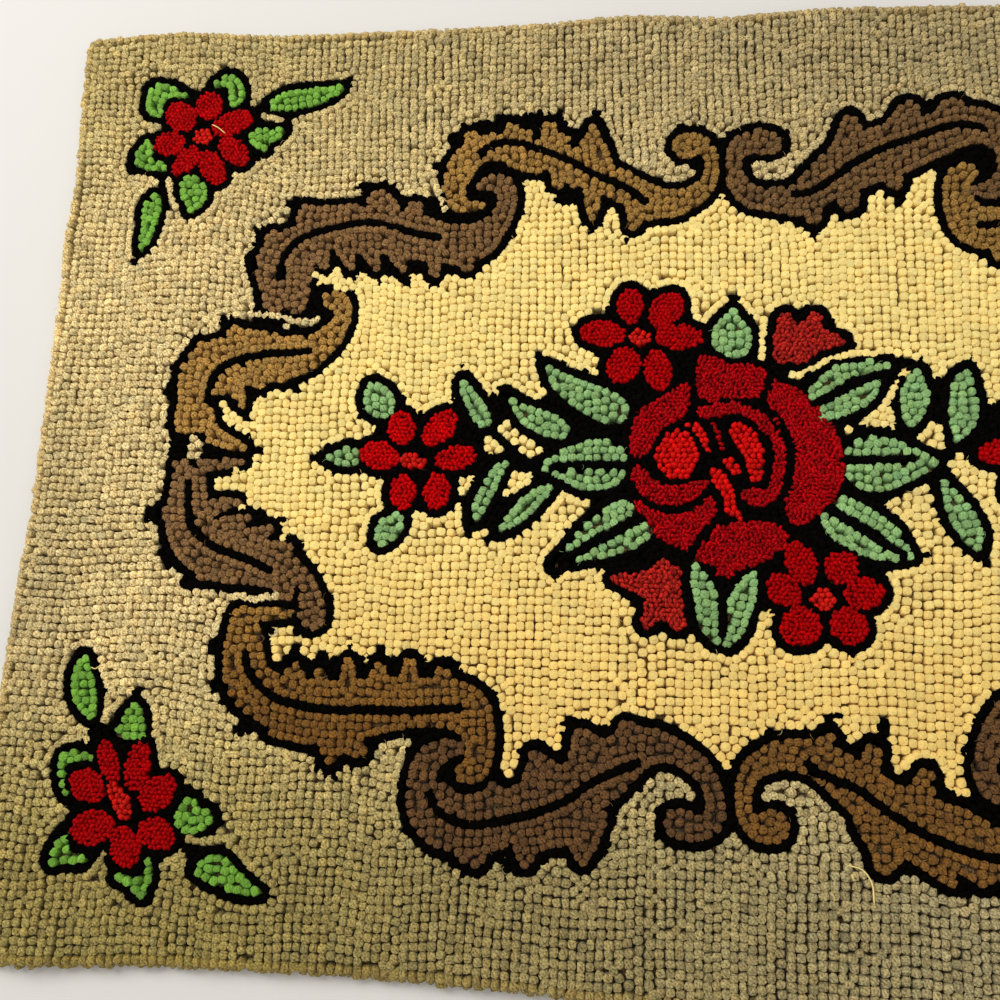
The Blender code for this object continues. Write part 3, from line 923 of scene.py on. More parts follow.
def lay_loops(rug, chart):
    """The coarse loops' places, whether each is on the rim, and the fields that drew them into rows."""
    u = np.linspace(-1 + RIM_INSET / rug.half_x, 1 - RIM_INSET / rug.half_x, LOOPS_ALONG)
    v = np.linspace(-1 + RIM_INSET / rug.half_y, 1 - RIM_INSET / rug.half_y, LOOPS_ACROSS)
    column, row = np.meshgrid(np.arange(LOOPS_ALONG), np.arange(LOOPS_ACROSS))
    at_end = (column == 0) | (column == LOOPS_ALONG - 1)
    at_side = (row == 0) | (row == LOOPS_ACROSS - 1)
    rim, corner = at_end | at_side, at_end & at_side
    x, y = rug.place(u[column], v[row])
    # Loops stand in columns that each start at their own height; at the left end they stand in rows
    start = (rng.normal(0, COLUMN_START, LOOPS_ALONG).cumsum() % PITCH - PITCH / 2)[column]
    shift = (rng.normal(0, ROW_START, LOOPS_ACROSS).cumsum() % PITCH - PITCH / 2)[row]
    in_rows = smooth((-325.0 - x) / 40.0) * smooth((y + 210.0) / 50.0) * smooth((-10.0 - y) / 60.0)
    x = x + np.where(rim, 0.0, in_rows * shift)
    y = y + np.where(rim, 0.0, (1.0 - in_rows) * start)
    x, y, rim = x[~corner], y[~corner], rim[~corner]
    # Rows wander slowly, and each loop a little
    calm = np.where(rim, 0.15, 1.0)
    x = x + calm * (1.5 * drift(x, y, 95, 3) + rng.normal(0, JITTER_X, len(x)))
    y = y + calm * (1.5 * drift(x, y, 120, 5) + rng.normal(0, JITTER_Y, len(y)))

    nearness = np.minimum(np.abs(chart.fill - chart.outline / 2), chart.line)
    slope_y, slope_x = np.gradient(nearness)
    fields = (nearness, slope_x, slope_y)
    x, y = settle(x, y, rim, fields, 22)
    for _ in range(2):
        x, y, rim = thin_out(x, y, rim)
        x, y, rim = fill_gaps(rug, x, y, rim)
        x, y = settle(x, y, rim, fields, 6)
    return x, y, rim, fields


def lay_fine_loops(chart, kinds, name):
    """The reds are hooked with finer yarn, close together: their own loops inside their own shapes."""
    pitch = FINE_PITCH[name]
    own = kinds == CODE[name]
    rows, columns = np.nonzero(own)
    along = np.arange(chart.xs[columns.min()], chart.xs[columns.max()], pitch)
    across = np.arange(chart.ys[rows.min()], chart.ys[rows.max()], pitch * 0.9)
    x, y = np.meshgrid(along, across)
    x = x + (np.arange(len(across)) % 2)[:, None] * pitch / 2
    x, y = x.ravel(), y.ravel()
    bare = chart.bare()
    inner = sample(bare, x, y) < -0.2
    inner &= own[np.round(y - Y0).astype(int), np.round(x - X0).astype(int)]
    x, y = x[inner], y[inner]
    x = x + rng.normal(0, 0.2 * pitch, len(x))
    y = y + rng.normal(0, 0.2 * pitch, len(y))
    slope_y, slope_x = np.gradient(bare)
    for _ in range(7):
        move_x, move_y = push_apart(x, y, pitch)
        depth = np.maximum(sample(bare, x, y) + 0.36 * pitch, 0.0) * 0.6
        x = x + move_x - depth * sample(slope_x, x, y)
        y = y + move_y - depth * sample(slope_y, x, y)
    held = kind_at(kinds, x, y) == CODE[name]
    return x[held], y[held]


def lay_edge(rug):
    """A lower row of loops right at the edge, all round."""
    found = []
    for half, other, swap in ((rug.half_x, rug.half_y, False), (rug.half_y, rug.half_x, True)):
        along = np.arange(-half + 3.0, half - 3.0, 4.5)
        for side in (-1.0, 1.0):
            place = (along + rng.normal(0, 0.8, len(along))) / half
            across = side * (1.0 - (0.9 + rng.normal(0, 0.5, len(along))) / other)
            found.append((across, place) if swap else (place, across))
    x, y = rug.place(*np.hstack(found))
    held = np.array([rug.hit(rug.pile, a, b) is not None for a, b in zip(x, y)])
    return x[held], y[held]


def thin_out(x, y, rim):
    """Takes away one of each pair of loops that stand in the same place, and never one of the rim's."""
    gone = np.zeros(len(x), bool)
    for first, second in zip(*neighbours(x, y, CLOSEST)):
        if not gone[first] and not gone[second]:
            gone[first if rim[second] else second] = True
    return x[~gone], y[~gone], rim[~gone]


def fill_gaps(rug, x, y, rim):
    """Adds a loop wherever one would fit."""
    columns = np.arange(-rug.half_x + 4, rug.half_x - 4, GAP_STEP)
    rows = np.arange(-rug.half_y + 4, rug.half_y - 4, GAP_STEP)
    free_x, free_y = (grid.ravel() for grid in np.meshgrid(columns, rows))
    inner = rug.inset(free_x, free_y) > RIM_INSET
    free_x, free_y = free_x[inner], free_y[inner]

    def cell(at_x, at_y, step_x=0, step_y=0):
        """The cell of a place, or one some steps beside it, on a grid with a margin all round."""
        column = np.round((at_x - columns[0]) / GAP_STEP).astype(int) + step_x + LOOP_STEPS + 1
        row = np.round((at_y - rows[0]) / GAP_STEP).astype(int) + step_y + LOOP_STEPS + 1
        return np.clip(row, 0, taken.shape[0] - 1), np.clip(column, 0, taken.shape[1] - 1)

    margin = 2 * (LOOP_STEPS + 1)
    taken = np.zeros((len(rows) + margin, len(columns) + margin), bool)
    span = range(-LOOP_STEPS, LOOP_STEPS + 1)
    for step_y in span:
        for step_x in span:
            if math.hypot(step_x, step_y) <= TAKEN_RADIUS:
                taken[cell(x, y, step_x, step_y)] = True
    free = ~taken[cell(free_x, free_y)]
    new = []
    for a, b in zip(free_x[free], free_y[free]):
        if all(math.hypot(a - c, b - d) > NEW_APART for c, d in new[-400:]):
            new.append((a, b))
    new = np.array(new).reshape(-1, 2)
    return np.append(x, new[:, 0]), np.append(y, new[:, 1]), np.append(rim, np.zeros(len(new), bool))


def cover(rug, kinds, chart, x, y, kind):
    """One more loop wherever a place lies open between the others: places and yarn numbers, in rows."""
    grids = np.meshgrid(np.arange(X0, X1, COVER_STEP), np.arange(Y0, Y1, COVER_STEP))
    open_x, open_y = (grid.ravel() for grid in grids)
    within = rug.inset(open_x, open_y) > RIM_INSET + 1.0
    open_x, open_y = open_x[within], open_y[within]
    own = kind_at(kinds, open_x, open_y)
    black = own == CODE["black"]
    coarse = ~np.isin(own, [CODE[name] for name in FINE_PITCH])
    outlined = sample(chart.bare(), open_x, open_y) > 0.3
    new = []
    for here, others, (far, apart) in (
        (black & outlined, kind == CODE["black"], BLACK_COVER),
        (~black & coarse, np.ones(len(x), bool), OTHER_COVER),
    ):
        tree = KDTree(int(others.sum()))
        for k, (a, b) in enumerate(zip(x[others], y[others])):
            tree.insert((a, b, 0.0), k)
        tree.balance()
        places = np.stack([open_x[here], open_y[here], own[here]], 1)
        away = np.array([tree.find((a, b, 0.0))[2] for a, b, _ in places])
        added = []
        for k in np.argsort(-away, kind="stable"):
            a, b, code = places[k]
            if away[k] < far:
                break
            if all(math.hypot(a - c, b - d) > apart for c, d, _ in added):
                added.append((a, b, code))
        new += added
    return np.array(new).reshape(-1, 3)


# Colours

def linear(*colour):
    """A screen colour, each part from 0 to 255, as the linear values that a shader takes."""
    return tuple(((c / 255 + 0.055) / 1.055) ** 2.4 if c > 10 else c / 255 / 12.92 for c in colour)


YARNS = {
    "tan": linear(205, 182, 125),
    "cream": linear(249, 222, 136),
    "black": linear(9, 8, 7),
    "caramel": linear(163, 122, 55),
    "taupe": linear(126, 91, 49),
    "petal": linear(162, 0, 7),
    "bright": linear(212, 14, 8),
    "red": linear(174, 0, 3),
    "eye": linear(205, 22, 10),
    "brick": linear(172, 30, 20),
    "sage": linear(139, 178, 110),
    "leaf": linear(116, 169, 57),
}


# One loop is a cushion: rings of points with one more at the top. Each ring, from the foot up, is a row of
# how wide it is, how high, and how much wider and higher it is on a full loop. Widths are shares of the
# loop's half width and heights are shares of LOOP_HIGH times that.
LOOP_RINGS = (
    (1.20, -1.15, 0.04, 0.00),
    (0.99, -0.56, 0.03, 0.16),
    (0.76, -0.13, 0.10, 0.04),
)
LOOP_TOP = 0.04
MORE_TOP = -0.05
LOOP_HIGH = 2.25
LOOP_SIDES = 8
# Above 2, the rings are squarer than a circle
SQUARE = 3.0


def loop_shape():
    """The points of one loop, what a full one adds to them, and each point's ring."""
    points, fuller, ring_of = [], [], []
    for ring, (wide, high, more_wide, more_high) in enumerate(LOOP_RINGS):
        for k in range(LOOP_SIDES):
            turn = k / LOOP_SIDES * math.tau
            cosine, sine = math.cos(turn), math.sin(turn)
            square = (abs(cosine) ** SQUARE + abs(sine) ** SQUARE) ** (-1 / SQUARE)
            points.append((wide * square * cosine, wide * square * sine, high))
            fuller.append((more_wide * square * cosine, more_wide * square * sine, more_high))
            ring_of.append(ring)
    points.append((0.0, 0.0, LOOP_TOP))
    fuller.append((0.0, 0.0, MORE_TOP))
    ring_of.append(len(LOOP_RINGS))
    return np.array(points), np.array(fuller), np.array(ring_of)


def tube_faces(rings, sides):
    """The triangles between rings of points, each ring joined to the next."""
    faces = []
    for ring in range(rings - 1):
        for k in range(sides):
            a, b = ring * sides + k, ring * sides + (k + 1) % sides
            faces += [(a, b, b + sides), (a, b + sides, a + sides)]
    return faces


def loop_faces(rings):
    """The triangles of a loop with this many rings and one point at the top."""
    last = (rings - 1) * LOOP_SIDES
    top = [(last + k, last + (k + 1) % LOOP_SIDES, last + LOOP_SIDES) for k in range(LOOP_SIDES)]
    return np.array(tube_faces(rings, LOOP_SIDES) + top)


def mesh_of(name, points, faces, colours, finish, rounded=True):
    """A mesh object from arrays of points, triangles and point colours; rounded is for all or each face."""
    mesh = bpy.data.meshes.new(name)
    mesh.vertices.add(len(points))
    mesh.vertices.foreach_set("co", np.ascontiguousarray(points, np.float32).ravel())
    mesh.loops.add(faces.size)
    mesh.loops.foreach_set("vertex_index", np.ascontiguousarray(faces, np.int32).ravel())
    mesh.polygons.add(len(faces))
    mesh.polygons.foreach_set("loop_start", np.arange(0, faces.size, faces.shape[1], dtype=np.int32))
    mesh.polygons.foreach_set("use_smooth", np.ascontiguousarray(np.broadcast_to(rounded, len(faces))))
    mesh.update(calc_edges=True)
    if colours is not None:
        layer = mesh.color_attributes.new("shade", "FLOAT_COLOR", "POINT")
        rgba = np.ones((len(points), 4), np.float32)
        rgba[:, :3] = colours
        layer.data.foreach_set("color", rgba.ravel())
    mesh.validate()
    mesh.materials.append(finish)
    made = bpy.data.objects.new(name, mesh)
    bpy.context.scene.collection.objects.link(made)
    return made


def give(node, inputs):
    """Puts these values into a node's inputs."""
    for name, value in inputs.items():
        node.inputs[name].default_value = value


def add(nodes, kind, inputs=None, **settings):
    """A new node with these values in its inputs, and these settings."""
    node = nodes.new(kind)
    for name, value in settings.items():
        setattr(node, name, value)
    give(node, inputs or {})
    return node


def material(name):
    """A new material, and its nodes, links and shader."""
    made = bpy.data.materials.new(name)
    made.use_nodes = True
    nodes = made.node_tree.nodes
    return made, nodes, made.node_tree.links, nodes["Principled BSDF"]


# The wool's fine surface: its depth in metres, its noise, how closely the plies follow each other and how
# far the noise bends them
SURFACE_DEPTH = 0.6 * MM
FLECKS_TO_METRE = 850.0
PLY_TURN = 3.6
PLY_BEND = 4.0
SHEEN_ROUGHNESS = 0.5
# How each yarn's surface differs from plain matt wool
WOOL = {
    "tan": {"flecks": (0.25, 1.75), "plies": 0.05},
    "cream": {"flecks": (0.84, 1.15), "plies": 0.05, "sheen": 0.2},
    "black": {"roughness": 1.0, "sheen": 0.0, "specular": 0.0},
    "caramel": {"flecks": (0.25, 1.75), "plies": 0.06},
    "taupe": {"flecks": (0.20, 1.80), "plies": 0.06},
    "petal": {"roughness": 0.5, "sheen": 0.0, "specular": 0.07, "flecks": (0.45, 1.5)},
    "red": {"roughness": 0.5, "sheen": 0.0, "specular": 0.05, "flecks": (0.65, 1.3)},
    "bright": {"roughness": 0.5, "sheen": 0.0, "specular": 0.07},
    "eye": {"roughness": 0.5, "sheen": 0.0, "specular": 0.1},
    "brick": {"roughness": 0.6, "sheen": 0.0, "specular": 0.12, "flecks": (0.45, 1.5)},
    "sage": {"flecks": (0.70, 1.28), "plies": 0.10},
    "leaf": {"flecks": (0.70, 1.28), "plies": 0.10},
}


def yarn(name, colour, roughness=0.85, sheen=0.12, specular=0.25, flecks=(0.7, 1.25), plies=0.15):
    """Twisted wool: each loop's own shade with its painted light and shade, its two plies, flecks of fibre,
    and a fine uneven surface.
    """
    made, nodes, links, shader = material(name)
    give(shader, {"Roughness": roughness, "Specular IOR Level": specular})
    give(shader, {"Sheen Weight": sheen, "Sheen Roughness": SHEEN_ROUGHNESS})
    place = add(nodes, "ShaderNodeTexCoord")
    shade = add(nodes, "ShaderNodeAttribute", attribute_name="shade")
    twist = add(nodes, "ShaderNodeAttribute", attribute_name="twist")

    fleck = add(nodes, "ShaderNodeTexNoise", {"Scale": FLECKS_TO_METRE, "Detail": 3.0, "Roughness": 0.65})
    links.new(place.outputs["Object"], fleck.inputs["Vector"])

    # The plies are a wave along the twist, bent a little by the flecks
    turns = add(nodes, "ShaderNodeMath", {1: PLY_TURN}, operation="MULTIPLY_ADD")
    links.new(twist.outputs["Fac"], turns.inputs[0])
    bend = add(nodes, "ShaderNodeMath", {1: PLY_BEND}, operation="MULTIPLY")
    links.new(fleck.outputs["Fac"], bend.inputs[0])
    links.new(bend.outputs[0], turns.inputs[2])
    wave = add(nodes, "ShaderNodeMath", operation="SINE")
    links.new(turns.outputs[0], wave.inputs[0])

    relief = add(nodes, "ShaderNodeMath", {1: plies}, operation="MULTIPLY_ADD")
    links.new(wave.outputs[0], relief.inputs[0])
    links.new(fleck.outputs["Fac"], relief.inputs[2])
    tone = add(nodes, "ShaderNodeMapRange", {"From Min": 0.30, "From Max": 0.70})
    give(tone, {"To Min": flecks[0], "To Max": flecks[1]})
    links.new(relief.outputs[0], tone.inputs["Value"])

    # The point colours tint the yarn, painted light and shade included
    tinted = add(nodes, "ShaderNodeVectorMath", {1: colour}, operation="MULTIPLY")
    links.new(shade.outputs["Vector"], tinted.inputs[0])
    flecked = add(nodes, "ShaderNodeVectorMath", operation="SCALE")
    links.new(tinted.outputs[0], flecked.inputs[0])
    links.new(tone.outputs[0], flecked.inputs["Scale"])
    links.new(flecked.outputs[0], shader.inputs["Base Color"])
    bump = add(nodes, "ShaderNodeBump", {"Strength": 0.7, "Distance": SURFACE_DEPTH})
    links.new(relief.outputs[0], bump.inputs["Height"])
    links.new(bump.outputs["Normal"], shader.inputs["Normal"])
    return made


# The wool is worn, and painted with the uneven light and shade that fall over it. Each of these gives the
# shares of red, green and blue at every place.

def field_shade(x, y):
    """The tan field's painted light and shade: lightest at the left, darker toward the top and yellower,
    darker at the bottom.
    """
    low = 1.0 - smooth((y + 268.0) / 165.0)
    top = smooth((y - 130.0) / 150.0)
    right = smooth((x + 200.0) / 400.0)
    light = 1.18 * (1.0 - (0.57 - 0.07 * right) * low - 0.28 * top - 0.17 * top * right)
    light = light * (1.0 - 0.10 * right * (1.0 - low) * (1.0 - top))
    # Painted shade: the left edge dips out of the light toward its lower end
    dip = 0.22 * smooth((-375.0 - x) / 50.0) * (1.0 - smooth((y + 40.0) / 130.0)) * (1.0 - low)
    light = light * (1.0 - dip)
    blue_low = np.clip(0.66 + 0.00122 * (x + 250.0), 0.62, 1.25)
    blue_top = np.clip(0.86 + 0.0004 * (x + 400.0), 0.84, 1.0)
    blue = 1.0 + (blue_low - 1.0) * low + (blue_top - 1.0) * top
    return np.stack([light, light * (1.0 + 0.06 * right * low), light * blue], 1)


def cream_shade(x, y):
    """The cream middle: yellower and a little darker toward the bottom."""
    low = 1.0 - smooth((y + 200.0) / 230.0)
    return np.stack([1.0 - 0.07 * low, 1.0 - 0.16 * low, 1.0 - 0.30 * low], 1)


def brown_shade(x, y):
    """The scroll leaves: much darker along the bottom, a little toward the top right."""
    low = 1.0 - smooth((y + 175.0) / 140.0)
    far = smooth((x + 280.0) / 300.0) * smooth(y / 150.0) * (1.0 - low)
    shares = ((0.45, 0.26), (0.52, 0.27), (0.62, 0.34))
    return np.stack([1.0 - at_bottom * low - at_right * far for at_bottom, at_right in shares], 1)


def caramel_shade(x, y):
    """The lighter scroll leaves darken more than the others, and redden."""
    low = 1.0 - smooth((y + 175.0) / 140.0)
    left = low * smooth((-100.0 - x) / 80.0)
    green = 1.0 - 0.18 * low - 0.04 * left
    blue = 1.0 - 0.36 * low - 0.22 * left
    return brown_shade(x, y) * np.stack([1.0 - 0.12 * low, green, blue], 1)


def red_shade(x, y):
    """The flowers' red: brightest at the left, a little darker along the bottom."""
    low = 1.0 - smooth((y + 220.0) / 200.0)
    near = smooth((-100.0 - x) / 60.0) * smooth((120.0 - np.abs(y)) / 60.0)
    light = (1.0 - 0.14 * low) * (1.0 + 0.28 * near)
    return np.stack([light, light * (1.0 + 0.5 * near), light], 1)


def plain_shade(x, y):
    """All other wool: a little darker along the bottom."""
    low = 1.0 - smooth((y + 220.0) / 200.0)
    return np.stack([1.0 - 0.14 * low, 1.0 - 0.14 * low, 1.0 - 0.22 * low], 1)


SHADES = {
    "tan": field_shade,
    "cream": cream_shade,
    "caramel": caramel_shade,
    "taupe": brown_shade,
    "red": red_shade,
}

# These loops are smooth over the top, and the others' tops are a little faceted
ROUND_TOPPED = ("black", "petal", "red", "bright", "eye", "brick")
# The pale loops, which show their sides, keep the middle ring, and the others do without it
THREE_RINGED = ("tan", "cream")
MIDDLE_RING = 1
# No piece gets more triangles than this
MOST_TRIANGLES = 190000

# How each yarn is hooked: half a loop's width, how much longer it runs one way, how far the loops stand
# up and down, how far they lean, how much their shades differ, how far they are turned, how uneven they
# are, how full they are, and how light the painted shade leaves the wool down between them
WIDTH, LONGER, HEIGHT, LEAN, SHADE, TURN, UNEVEN, FULL, GAP = range(9)
HOOKING = {
    "tan": (2.78, 1.08, 0.34, 0.15, 0.10, 0.22, 0.08, 0.6, 0.34),
    "cream": (2.72, 1.06, 0.22, 0.08, 0.045, 0.10, 0.05, 1.0, 0.60),
    "black": (2.70, 1.10, 0.42, 0.12, 0.10, 0.50, 0.10, 0.3, 0.30),
    "caramel": (2.72, 1.06, 0.30, 0.13, 0.10, 0.18, 0.07, 0.7, 0.36),
    "taupe": (2.72, 1.06, 0.30, 0.13, 0.11, 0.18, 0.07, 0.7, 0.36),
    "sage": (2.72, 1.10, 0.32, 0.15, 0.10, 0.22, 0.08, 0.6, 0.32),
    "leaf": (2.72, 1.10, 0.32, 0.15, 0.12, 0.22, 0.08, 0.6, 0.32),
    "petal": (1.66, 1.90, 0.24, 0.26, 0.20, 1.20, 0.09, 0.4, 0.58),
    "bright": (1.95, 1.20, 0.30, 0.20, 0.12, 1.20, 0.08, 0.4, 0.36),
    "red": (1.62, 1.55, 0.22, 0.22, 0.12, 1.20, 0.09, 0.5, 0.60),
    "eye": (1.90, 1.20, 0.30, 0.20, 0.12, 1.20, 0.08, 0.4, 0.36),
    "brick": (1.75, 1.50, 0.34, 0.28, 0.17, 1.20, 0.10, 0.4, 0.38),
}


def each(kind, column):
    """One column of HOOKING for every loop."""
    return np.array([HOOKING[name][column] for name in NAMES])[kind]


def varied(kind, column, spread=1.0):
    """A random amount for every loop, on the scale of one column of HOOKING."""
    return rng.normal(0, spread, len(kind)) * each(kind, column)


def gather_loops(rug, chart):
    """Every loop's place and yarn, whether it is on the rim or in the low row at the edge, and its turn."""
    kinds = classes(chart)
    x, y, rim, fields = lay_loops(rug, chart)
    strips = strip_loops()
    clear = np.hypot(x[:, None] - strips[:, 0], y[:, None] - strips[:, 1]).min(1) > STRIP_CLEAR
    x, y = np.append(x[clear], strips[:, 0]), np.append(y[clear], strips[:, 1])
    rim = np.append(rim[clear], np.zeros(len(strips), bool))
    kind = kind_at(kinds, x, y)
    kind[rim] = CODE["tan"]
    coarse = ~np.isin(kind, [CODE[name] for name in FINE_PITCH])
    x, y, rim, kind = x[coarse], y[coarse], rim[coarse], kind[coarse]
    for name in FINE_PITCH:
        fine_x, fine_y = lay_fine_loops(chart, kinds, name)
        x, y = np.append(x, fine_x), np.append(y, fine_y)
        kind = np.append(kind, np.full(len(fine_x), CODE[name]))
    more_x, more_y, more_kind = cover(rug, kinds, chart, x, y, kind).T
    edge_x, edge_y = lay_edge(rug)
    x, y = np.concatenate([x, more_x, edge_x]), np.concatenate([y, more_y, edge_y])
    kind = np.concatenate([kind, more_kind.astype(int), np.full(len(edge_x), CODE["tan"])])
    rim = np.append(rim, np.zeros(len(x) - len(rim), bool))
    edge = np.arange(len(x)) >= len(x) - len(edge_x)

    # Outline loops lie close to their line, and all loops beside one are turned along it
    nearness, slope_x, slope_y = fields
    near = sample(nearness, x, y)
    gx, gy = sample(slope_x, x, y), sample(slope_y, x, y)
    snap = np.where((kind == CODE["black"]) & (near < SNAP_WITHIN), near * SNAP_SHARE, 0.0)
    x, y = x - snap * gx, y - snap * gy
    top_zone = smooth((y - 130.0) / 70.0) * smooth((x + 330.0) / 80.0)
    turn = np.where(near < TURNED_WITHIN, np.arctan2(gx, -gy), top_zone * math.pi / 2)
    return SimpleNamespace(x=x, y=y, kind=kind, rim=rim, edge=edge, turn=turn)


def loop_tops(rug, loops):
    """How high each loop stands, in metres."""
    surface = rug.height(rug.pile, loops.x, loops.y)
    surface = np.where(np.isnan(surface), PILE_TOP * MM, surface)
    top = surface + MM * (OVER_PILE + varied(loops.kind, HEIGHT))
    top = np.where(loops.kind == CODE["black"], top - BLACK_LOWER * MM, top)
    top = np.where(loops.rim, top + RIM_HIGHER * MM, top)
    return np.where(loops.edge, (EDGE_HIGH + rng.normal(0, EDGE_UNEVEN, len(top))) * MM, top)


def loop_leans(rug, loops):
    """How far each loop leans along and across the rug: at the edge they lean out over it."""
    outward = np.where(loops.rim, RIM_LEAN, 0.0) + np.where(loops.edge, EDGE_LEAN, 0.0)
    leans = []
    for place, half in ((loops.x, rug.half_x), (loops.y, rug.half_y)):
        side = np.where(np.abs(place) > half - CORNER, np.sign(place), 0.0)
        leans.append((side * outward + varied(loops.kind, LEAN))[:, None])
    return leans


def shape_loops(rug, loops, points, fuller, ring_of):
    """The points of every loop, the yarn's twist at each of them, and how full each loop is."""
    kind, count = loops.kind, len(loops.x)
    turn = loops.turn + varied(kind, TURN)
    bottom_zone = smooth((-150.0 - loops.y) / 80.0)
    longer = each(kind, LONGER)
    longer = np.where(kind == CODE["tan"], 1.0 + (longer - 1.0) * (1.0 - bottom_zone), longer)
    longer = longer * (1.0 + varied(kind, UNEVEN, 1.3))
    size = each(kind, WIDTH) * (1.0 + varied(kind, UNEVEN, 0.7))
    top = loop_tops(rug, loops)
    lean_x, lean_y = loop_leans(rug, loops)

    full = each(kind, FULL) + rng.normal(0, 0.2, count)
    shape = points[None] + fuller[None] * full[:, None, None]
    cosine, sine = np.cos(turn)[:, None], np.sin(turn)[:, None]
    long_way = shape[:, :, 0] * (size * np.sqrt(longer))[:, None]
    short_way = shape[:, :, 1] * (size / np.sqrt(longer))[:, None]
    uneven = each(kind, UNEVEN)[:, None]
    wobble = 1.0 + rng.normal(0, 1.0, shape.shape[:2]) * uneven
    from_x = (cosine * long_way - sine * short_way) * wobble
    from_y = (sine * long_way + cosine * short_way) * wobble
    deep = shape[:, :, 2] * (LOOP_HIGH * size[:, None])
    # A leaning loop's crown tips over and stands further out than its foot
    crown = (ring_of > 0)[None]
    z = deep - (from_x * lean_x + from_y * lean_y) * crown
    z = z + rng.normal(0, 2.2, shape.shape[:2]) * uneven * crown
    x = loops.x[:, None] + from_x + lean_x * (deep + 2.0)
    y = loops.y[:, None] + from_y + lean_y * (deep + 2.0)
    places = np.stack([x * MM, y * MM, top[:, None] + z * MM], -1)

    # The yarn's twist crosses each loop at a slant
    slant = (turn + rng.normal(0.7, 0.35, count))[:, None]
    twist = from_x * np.cos(slant) + from_y * np.sin(slant) + rng.uniform(0, 5, count)[:, None]
    return places, twist, full


def tint_loops(loops, full, ring_of):
    """The colour of every loop at each of its points, as shares of its yarn's colour, painted light and
    shade included.
    """
    x, y, kind, count = loops.x, loops.y, loops.kind, len(loops.x)
    own = 1.0 + varied(kind, SHADE)
    patch = 1.0 + 0.035 * drift(x, y, 60, 21)
    warm = rng.normal(0.0, 0.018, count)
    tint = np.stack([own * patch * (1 + warm), own * patch, own * patch * (1 - 1.6 * warm)], 1)
    for name, code in CODE.items():
        rows = kind == code
        tint[rows] *= SHADES.get(name, plain_shade)(x[rows], y[rows])
    # The rim is a little yellower, most of all along the bottom
    low_edge = smooth((-180.0 - y) / 60.0)[:, None]
    yellow = np.array([0.97, 0.92, 0.84]) * (1.0 - low_edge) + np.array([0.96, 0.90, 0.72]) * low_edge
    tint = tint * np.where((loops.rim | loops.edge)[:, None], yellow, 1.0)
    # Painted shade: each ring up from the foot is lighter than the one below it, darkest down between the
    # loops
    foot = each(kind, GAP)
    light = np.stack([foot, 0.45 + 0.55 * foot + 0.12 * full, np.ones(count), np.full(count, 1.04)], 1)
    return tint[:, None, :] * light[:, ring_of][:, :, None]


def build_pile(rug, chart):
    """All the loops, as one or two joined meshes for each yarn, and the yarns' materials."""
    loops = gather_loops(rug, chart)
    points, fuller, ring_of = loop_shape()
    places, twist, full = shape_loops(rug, loops, points, fuller, ring_of)
    colours = tint_loops(loops, full, ring_of)
    made, finishes = [], {}
    for name, code in CODE.items():
        finish = finishes[name] = yarn("wool_" + name, YARNS[name], **WOOL[name])
        whole = name in THREE_RINGED
        kept = np.nonzero(whole | (ring_of != MIDDLE_RING))[0]
        faces = loop_faces(len(LOOP_RINGS) if whole else len(LOOP_RINGS) - 1)
        rounded = (np.arange(len(faces)) < len(faces) - LOOP_SIDES) | (name in ROUND_TOPPED)
        rows = np.nonzero(loops.kind == code)[0]
        rows = rows[np.argsort(loops.x[rows], kind="stable")]
        parts = max(1, math.ceil(len(rows) * len(faces) / MOST_TRIANGLES))
        for part, group in enumerate(np.array_split(rows, parts)):
            label = f"loops_{name}" + (f"_{part + 1}" if parts > 1 else "")
            offset = (np.arange(len(group)) * len(kept))[:, None, None]
            triangles = (faces[None] + offset).reshape(-1, 3)
            own_points = places[group][:, kept].reshape(-1, 3)
            own_colours = colours[group][:, kept].reshape(-1, 3)
            own_twist = twist[group][:, kept].ravel()
            piece = mesh_of(label, own_points, triangles, own_colours, finish, np.tile(rounded, len(group)))
            ply = piece.data.attributes.new("twist", "FLOAT", "POINT")
            ply.data.foreach_set("value", np.ascontiguousarray(own_twist, np.float32))
            made.append(piece)
    return made, finishes


# Stray fibres of wool over the loops

# How many short ones lie on each yarn, and how they rise from one point to the next, over the pile
FIBRES = {"tan": 900, "caramel": 160, "taupe": 200, "cream": 160, "sage": 60, "petal": 90}
FIBRE_RISES = (-0.4, 0.7, 0.8, -0.3)
FIBRE_SHADE = 1.12
# The longer ends of thread: their yarn, radius, and rows of x, y and height over the pile
THREADS = (
    ("cream", 0.5, ((62, -229, 0.3), (70, -231, 1.2), (75, -238, 1.4), (76, -249, 0.4))),
    ("petal", 0.3, ((-166, -17, 0.4), (-175, -22, 1.5), (-179, -33, 0.3))),
    ("cream", 0.4, ((-343, 236, 0.4), (-338, 233, 1.0), (-333, 229, 0.3))),
    ("cream", 0.4, ((-383, -133, 0.3), (-380, -134, 0.9), (-377, -132, 0.2))),
)


def tubes(lines, radii, sides=3, end_share=0.35):
    """Thin tubes along lines of points, narrow at their ends: their points and triangles."""
    count, steps, _ = lines.shape
    ahead = np.gradient(lines, axis=1)
    ahead /= np.maximum(np.linalg.norm(ahead, axis=2, keepdims=True), 1e-9)
    aside = np.cross(ahead, np.array([0.0, 0.0, 1.0]))
    aside /= np.maximum(np.linalg.norm(aside, axis=2, keepdims=True), 1e-9)
    upward = np.cross(aside, ahead)
    turns = (np.arange(sides) / sides * math.tau)[None, None, :, None]
    shares = np.array([end_share] + [1.0] * (steps - 2) + [end_share])
    thick = radii[:, None, None, None] * shares[None, :, None, None]
    ring = np.cos(turns) * aside[:, :, None] + np.sin(turns) * upward[:, :, None]
    points = lines[:, :, None] + ring * thick
    offset = (np.arange(count) * steps * sides)[:, None, None]
    return points.reshape(-1, 3), (np.array(tube_faces(steps, sides))[None] + offset).reshape(-1, 3)


